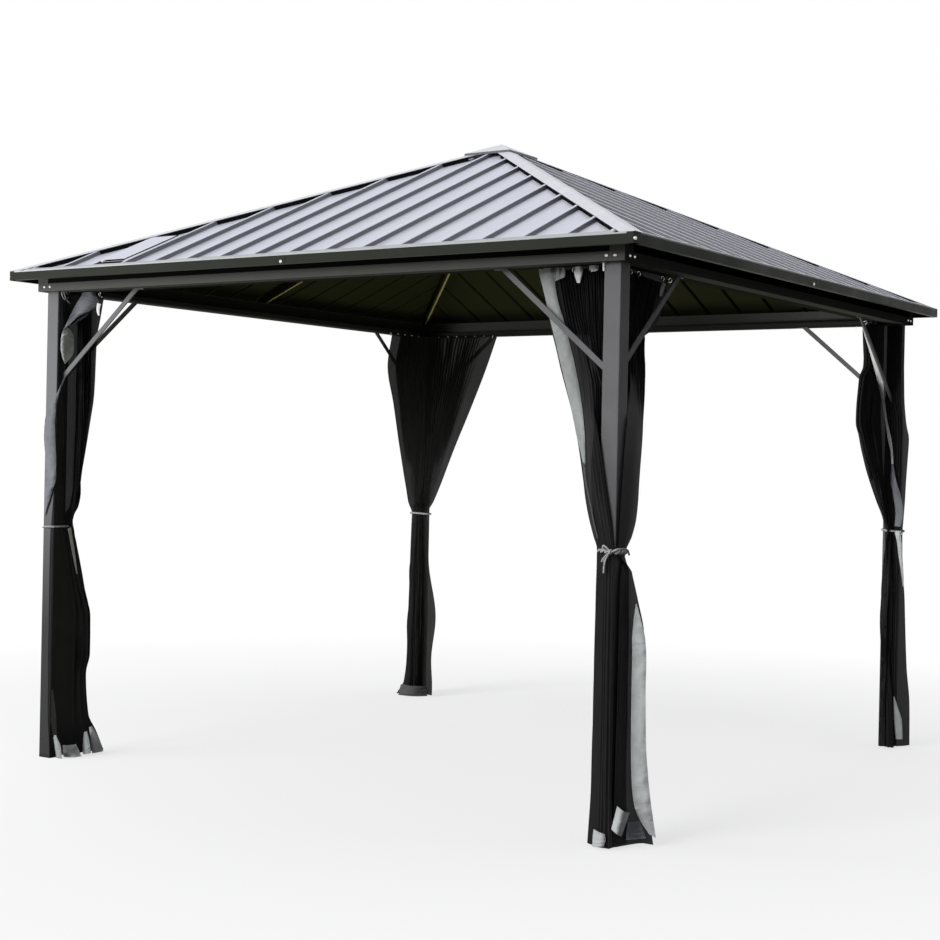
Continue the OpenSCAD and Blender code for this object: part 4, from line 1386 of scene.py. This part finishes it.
# Slack cords that loop below the left rail: pixels of the photograph on the upright plane at x (mm)
SLACK_AT = -1300
SLACK_RADIUS = 0.0026
SLACK = (
    ((63, 288), (65.5, 297), (70.5, 303.5), (76, 301), (79.5, 292), (80, 287)),
    ((65, 288), (68.5, 296), (73, 299.5), (77, 296), (78.5, 288)),
    ((61.5, 288), (62.5, 296), (65.5, 299.5), (69, 295), (70, 288)),
)

# Heading rings: line of the rail, spacing, room at both ends, drop under the beam, reach, wire, steps round
RING_LINE = 1.300
RING_PITCH = 0.062
RING_START, RING_ROOM = 0.012, 0.03
RING_DROP = 0.0085
RING_REACH, RING_RADIUS = 0.0080, 0.0013
RING_STEPS = 14


class GAZEBO_OT_ties(bpy.types.Operator):
    """Twists the tie cords with their bows and hangs the heading rings"""
    bl_idname = "gazebo.ties"
    bl_label = "Tie cords and rings"

    def execute(self, context):
        look = finishes()
        cords = bmesh.new()
        for corner in CORNERS:
            self.loop(cords, *TIES[corner])
        for radius, points in BOWS:
            self.cord(cords, points, radius)
        for at, axis in KNOTS:
            self.ring(cords, Vector(at), Vector(axis), KNOT_REACH, KNOT_RADIUS)
        for pixels in SLACK:
            self.cord(cords, [sight(px, py, "x", SLACK_AT / 1000) for px, py in pixels], SLACK_RADIUS)
        finish_piece("tie_cords_twisted", cords, [look["cord"]], ["tie_cords"], smooth=True)
        rings = bmesh.new()
        self.rings(rings)
        finish_piece("curtain_rings", rings, [look["steel"]], smooth=True)
        return {"FINISHED"}

    def loop(self, bm, lift, radius, corners):
        """A two-strand cord round the post and the gathered net, its corners rounded by cutting them."""
        path = [Vector((x, y, TIE_Z + lift)) for x, y in corners]
        for cut in (0.16, 0.25, 0.25):
            pairs = list(zip(path, path[1:] + path[:1]))
            path = [spot for a, b in pairs for spot in (a.lerp(b, cut), a.lerp(b, 1 - cut))]
        legs = [0.0]
        for a, b in zip(path, path[1:] + path[:1]):
            legs.append(legs[-1] + (b - a).length)
        round_all = legs[-1]
        turns = round(round_all / (TWIST_RADII * radius))
        steps = TWIST_STEPS * turns
        for strand in (0, 1):
            line = []
            for i in range(steps):
                at = round_all * i / steps
                n = max(j for j in range(len(path)) if legs[j] <= at + 1e-9)
                a, b = path[n], path[(n + 1) % len(path)]
                spot = a.lerp(b, (at - legs[n]) / max(legs[n + 1] - legs[n], 1e-9))
                out = (b - a).normalized().cross(Vector((0, 0, 1)))
                angle = math.tau * (turns * i / steps + strand / 2)
                rise = radius * math.sin(angle) + LOOP_SAG * math.sin(math.tau * at / round_all)
                line.append(spot + radius * math.cos(angle) * out + Vector((0, 0, rise)))
            add_wire(bm, line, radius, closed=True)

    def cord(self, bm, points, radius):
        """One strand drawn smoothly through a few points."""
        curves = [through(range(len(points)), [p[axis] for p in points]) for axis in range(3)]
        steps = CORD_STEPS * (len(points) - 1)
        fine = [Vector(c(i / CORD_STEPS) for c in curves) for i in range(steps + 1)]
        add_wire(bm, fine, radius)

    def rings(self, bm):
        """Small wire rings that carry the curtain headings on the rails."""
        for corner in CORNERS:
            sign_x = 1 if "right" in corner else -1
            sign_y = 1 if "back" in corner else -1
            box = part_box("curtain_" + corner)
            for along in (0, 1):
                start = min(abs(box[0][along]), abs(box[1][along]))
                count = max(int((RING_LINE - start) / RING_PITCH), 2)
                axis = Vector((0.36, 0.93, 0)) if along else Vector((0.93, 0.36, 0))
                for i in range(count):
                    at = start + RING_START + (RING_LINE - start - RING_ROOM) * i / count
                    x, y = (RING_LINE, at) if along else (at, RING_LINE)
                    spot = Vector((sign_x * x, sign_y * y, BEAM_LOW - RING_DROP))
                    self.ring(bm, spot, axis, RING_REACH, RING_RADIUS)

    def ring(self, bm, at, axis, reach, radius):
        """A closed wire ring about an axis."""
        turn = Vector((0, 0, 1)).rotation_difference(axis).to_matrix()
        angles = [math.tau * i / RING_STEPS for i in range(RING_STEPS)]
        line = [at + turn @ Vector((reach * math.cos(a), reach * math.sin(a), 0)) for a in angles]
        add_wire(bm, line, radius, closed=True)


# Stage

def shine(*way):
    """The turn of a lamp that shines a given way."""
    return Vector(way).to_track_quat("-Z", "Y").to_euler()


# Lamps: name, kind, strength, its other settings, place, and turn
SPOT = {"spot_size": math.radians(50), "spot_blend": 1.0, "shadow_soft_size": 0.3}
KEY = {"angle": math.radians(35), "color": (1.0, 0.99, 0.97)}
GROUND = {"size": 2.2, "color": (1.0, 1.0, 0.72)}
LAMPS = (
    ("Key", "SUN", 1.85, KEY, (0.0, 0.0, 0.0), shine(0.20, 0.86, -0.40)),
    ("Low", "SUN", 0.5, {"angle": math.radians(12)}, (0.0, 0.0, 0.0), shine(0.10, 0.97, -0.18)),
    ("Ground", "AREA", 16.0, GROUND, (0.0, 0.0, 0.03), (math.pi, 0.0, 0.0)),
    ("Fill", "AREA", 44.0, {"size": 1.2}, (-2.7, -3.2, 1.2), shine(1.3, 1.8, 0.6)),
    ("Inside", "SPOT", 150.0, SPOT, (0.4, -1.0, 1.1), shine(0.93, 2.20, 0.25)),
    ("Back", "SPOT", 26.0, SPOT, (-0.5, 0.3, 0.9), shine(-0.75, 0.95, 0.25)),
)


class GAZEBO_OT_stage(bpy.types.Operator):
    """Sets the pale floor, the soft light and the camera"""
    bl_idname = "gazebo.stage"
    bl_label = "Stage"

    def execute(self, context):
        scene = context.scene
        scene.view_settings.view_transform = "Standard"
        self.floor(scene)
        self.world(scene)
        self.lamps(scene)
        self.camera(scene)
        return {"FINISHED"}

    def floor(self, scene):
        """A wide floor that is pale to the eye, fades to white and throws little light up."""
        bm = bmesh.new()
        bmesh.ops.create_grid(bm, x_segments=8, y_segments=8, size=60.0)
        mesh = bpy.data.meshes.new("studio_floor")
        bm.to_mesh(mesh)
        bm.free()
        floor = bpy.data.objects.new("studio_floor", mesh)
        scene.collection.objects.link(floor)
        floor.location.z = -0.0005
        material, tree, skin = new_material("Studio floor")
        seen = self.seen(tree)
        feed(tree, skin, {
            "Base Color": blend_colour(tree, seen, (0.09, 0.09, 0.09, 1.0), rgba(scene.gazebo_colours.floor)),
            "Roughness": 0.9,
            "Specular IOR Level": 0.0,
        })
        away = add(tree, "ShaderNodeVectorMath", {0: object_place(tree)}, operation="LENGTH").outputs["Value"]
        far = maths(tree, "MULTIPLY", span(tree, away, 1.8, 5.0, 0.68, 1.0), seen)
        white = add(tree, "ShaderNodeEmission", {"Color": (1, 1, 1, 1), "Strength": 1.0})
        mixed = add(tree, "ShaderNodeMixShader", {0: far, 1: skin.outputs[0], 2: white.outputs[0]})
        feed(tree, tree.nodes["Material Output"], {"Surface": mixed.outputs[0]})
        mesh.materials.append(material)

    def seen(self, tree):
        """One where the eye looks, straight or by a reflection; nought for scattered light."""
        path = add(tree, "ShaderNodeLightPath").outputs
        either = maths(tree, "MAXIMUM", path["Is Camera Ray"], path["Is Glossy Ray"])
        return maths(tree, "MAXIMUM", either, path["Is Transmission Ray"])

    def world(self, scene):
        """A sky that is white to the eye and lights softly, least from the right."""
        world = bpy.data.worlds.new("Studio")
        scene.world = world
        world.use_nodes = True
        tree = world.node_tree
        tree.nodes.clear()
        way = parts_of(tree, add(tree, "ShaderNodeTexCoord").outputs["Generated"])
        shaded = maths(tree, "SUBTRACT", way[0], way[2])
        strength = span(tree, shaded, -0.15, 0.55, 0.44, 0.05)
        soft = add(tree, "ShaderNodeBackground", {"Color": (0.95, 0.97, 1.0, 1.0), "Strength": strength})
        white = add(tree, "ShaderNodeBackground", {"Color": (1, 1, 1, 1), "Strength": 1.0})
        links = {0: self.seen(tree), 1: soft.outputs[0], 2: white.outputs[0]}
        mixed = add(tree, "ShaderNodeMixShader", links)
        out = add(tree, "ShaderNodeOutputWorld", {"Surface": mixed.outputs[0]})
        out.is_active_output = True

    def lamps(self, scene):
        for name, kind, energy, settings, place, turn in LAMPS:
            light = bpy.data.lights.new(name, kind)
            light.energy = energy
            for key, value in settings.items():
                setattr(light, key, value)
            lamp = bpy.data.objects.new(name, light)
            scene.collection.objects.link(lamp)
            lamp.location = place
            lamp.rotation_euler = turn
            lamp.visible_camera = kind == "SUN"

    def camera(self, scene):
        data = bpy.data.cameras.new("Camera")
        data.sensor_fit = "HORIZONTAL"
        data.sensor_width = 36.0
        data.lens = data.sensor_width * PHOTO_FOCAL / (2 * PHOTO_MIDDLE)
        data.clip_end = 200.0
        camera = bpy.data.objects.new("Camera", data)
        scene.collection.objects.link(camera)
        turn = Matrix((LOOK_RIGHT, LOOK_UP, -LOOK_AHEAD)).transposed().to_4x4()
        camera.matrix_world = Matrix.Translation(LOOK_FROM) @ turn
        scene.camera = camera


# Panel and run

OPERATORS = (
    GAZEBO_OT_stage, GAZEBO_OT_frame, GAZEBO_OT_roof, GAZEBO_OT_bolts, GAZEBO_OT_curtains, GAZEBO_OT_ties,
)


class GAZEBO_PT_panel(bpy.types.Panel):
    """Lists the gazebo's pieces in the 3D view's sidebar"""
    bl_idname = "GAZEBO_PT_panel"
    bl_label = "Garden gazebo"
    bl_space_type = "VIEW_3D"
    bl_region_type = "UI"
    bl_category = "Gazebo"

    def draw(self, context):
        for operator in OPERATORS:
            self.layout.operator(operator.bl_idname)
        for group in (context.scene.gazebo_sizes, context.scene.gazebo_colours):
            box = self.layout.box()
            for name in group.__annotations__:
                box.prop(group, name)


CLASSES = (GazeboSizes, GazeboColours) + OPERATORS + (GAZEBO_PT_panel,)


def register():
    for cls in CLASSES:
        bpy.utils.register_class(cls)
    bpy.types.Scene.gazebo_sizes = PointerProperty(type=GazeboSizes)
    bpy.types.Scene.gazebo_colours = PointerProperty(type=GazeboColours)


def unregister():
    del bpy.types.Scene.gazebo_colours
    del bpy.types.Scene.gazebo_sizes
    for cls in reversed(CLASSES):
        bpy.utils.unregister_class(cls)


def main():
    register()
    bpy.ops.gazebo.stage()
    bpy.ops.gazebo.frame()
    bpy.ops.gazebo.roof()
    bpy.ops.gazebo.bolts()
    bpy.ops.gazebo.curtains()
    bpy.ops.gazebo.ties()


if __name__ == "__main__":
    main()
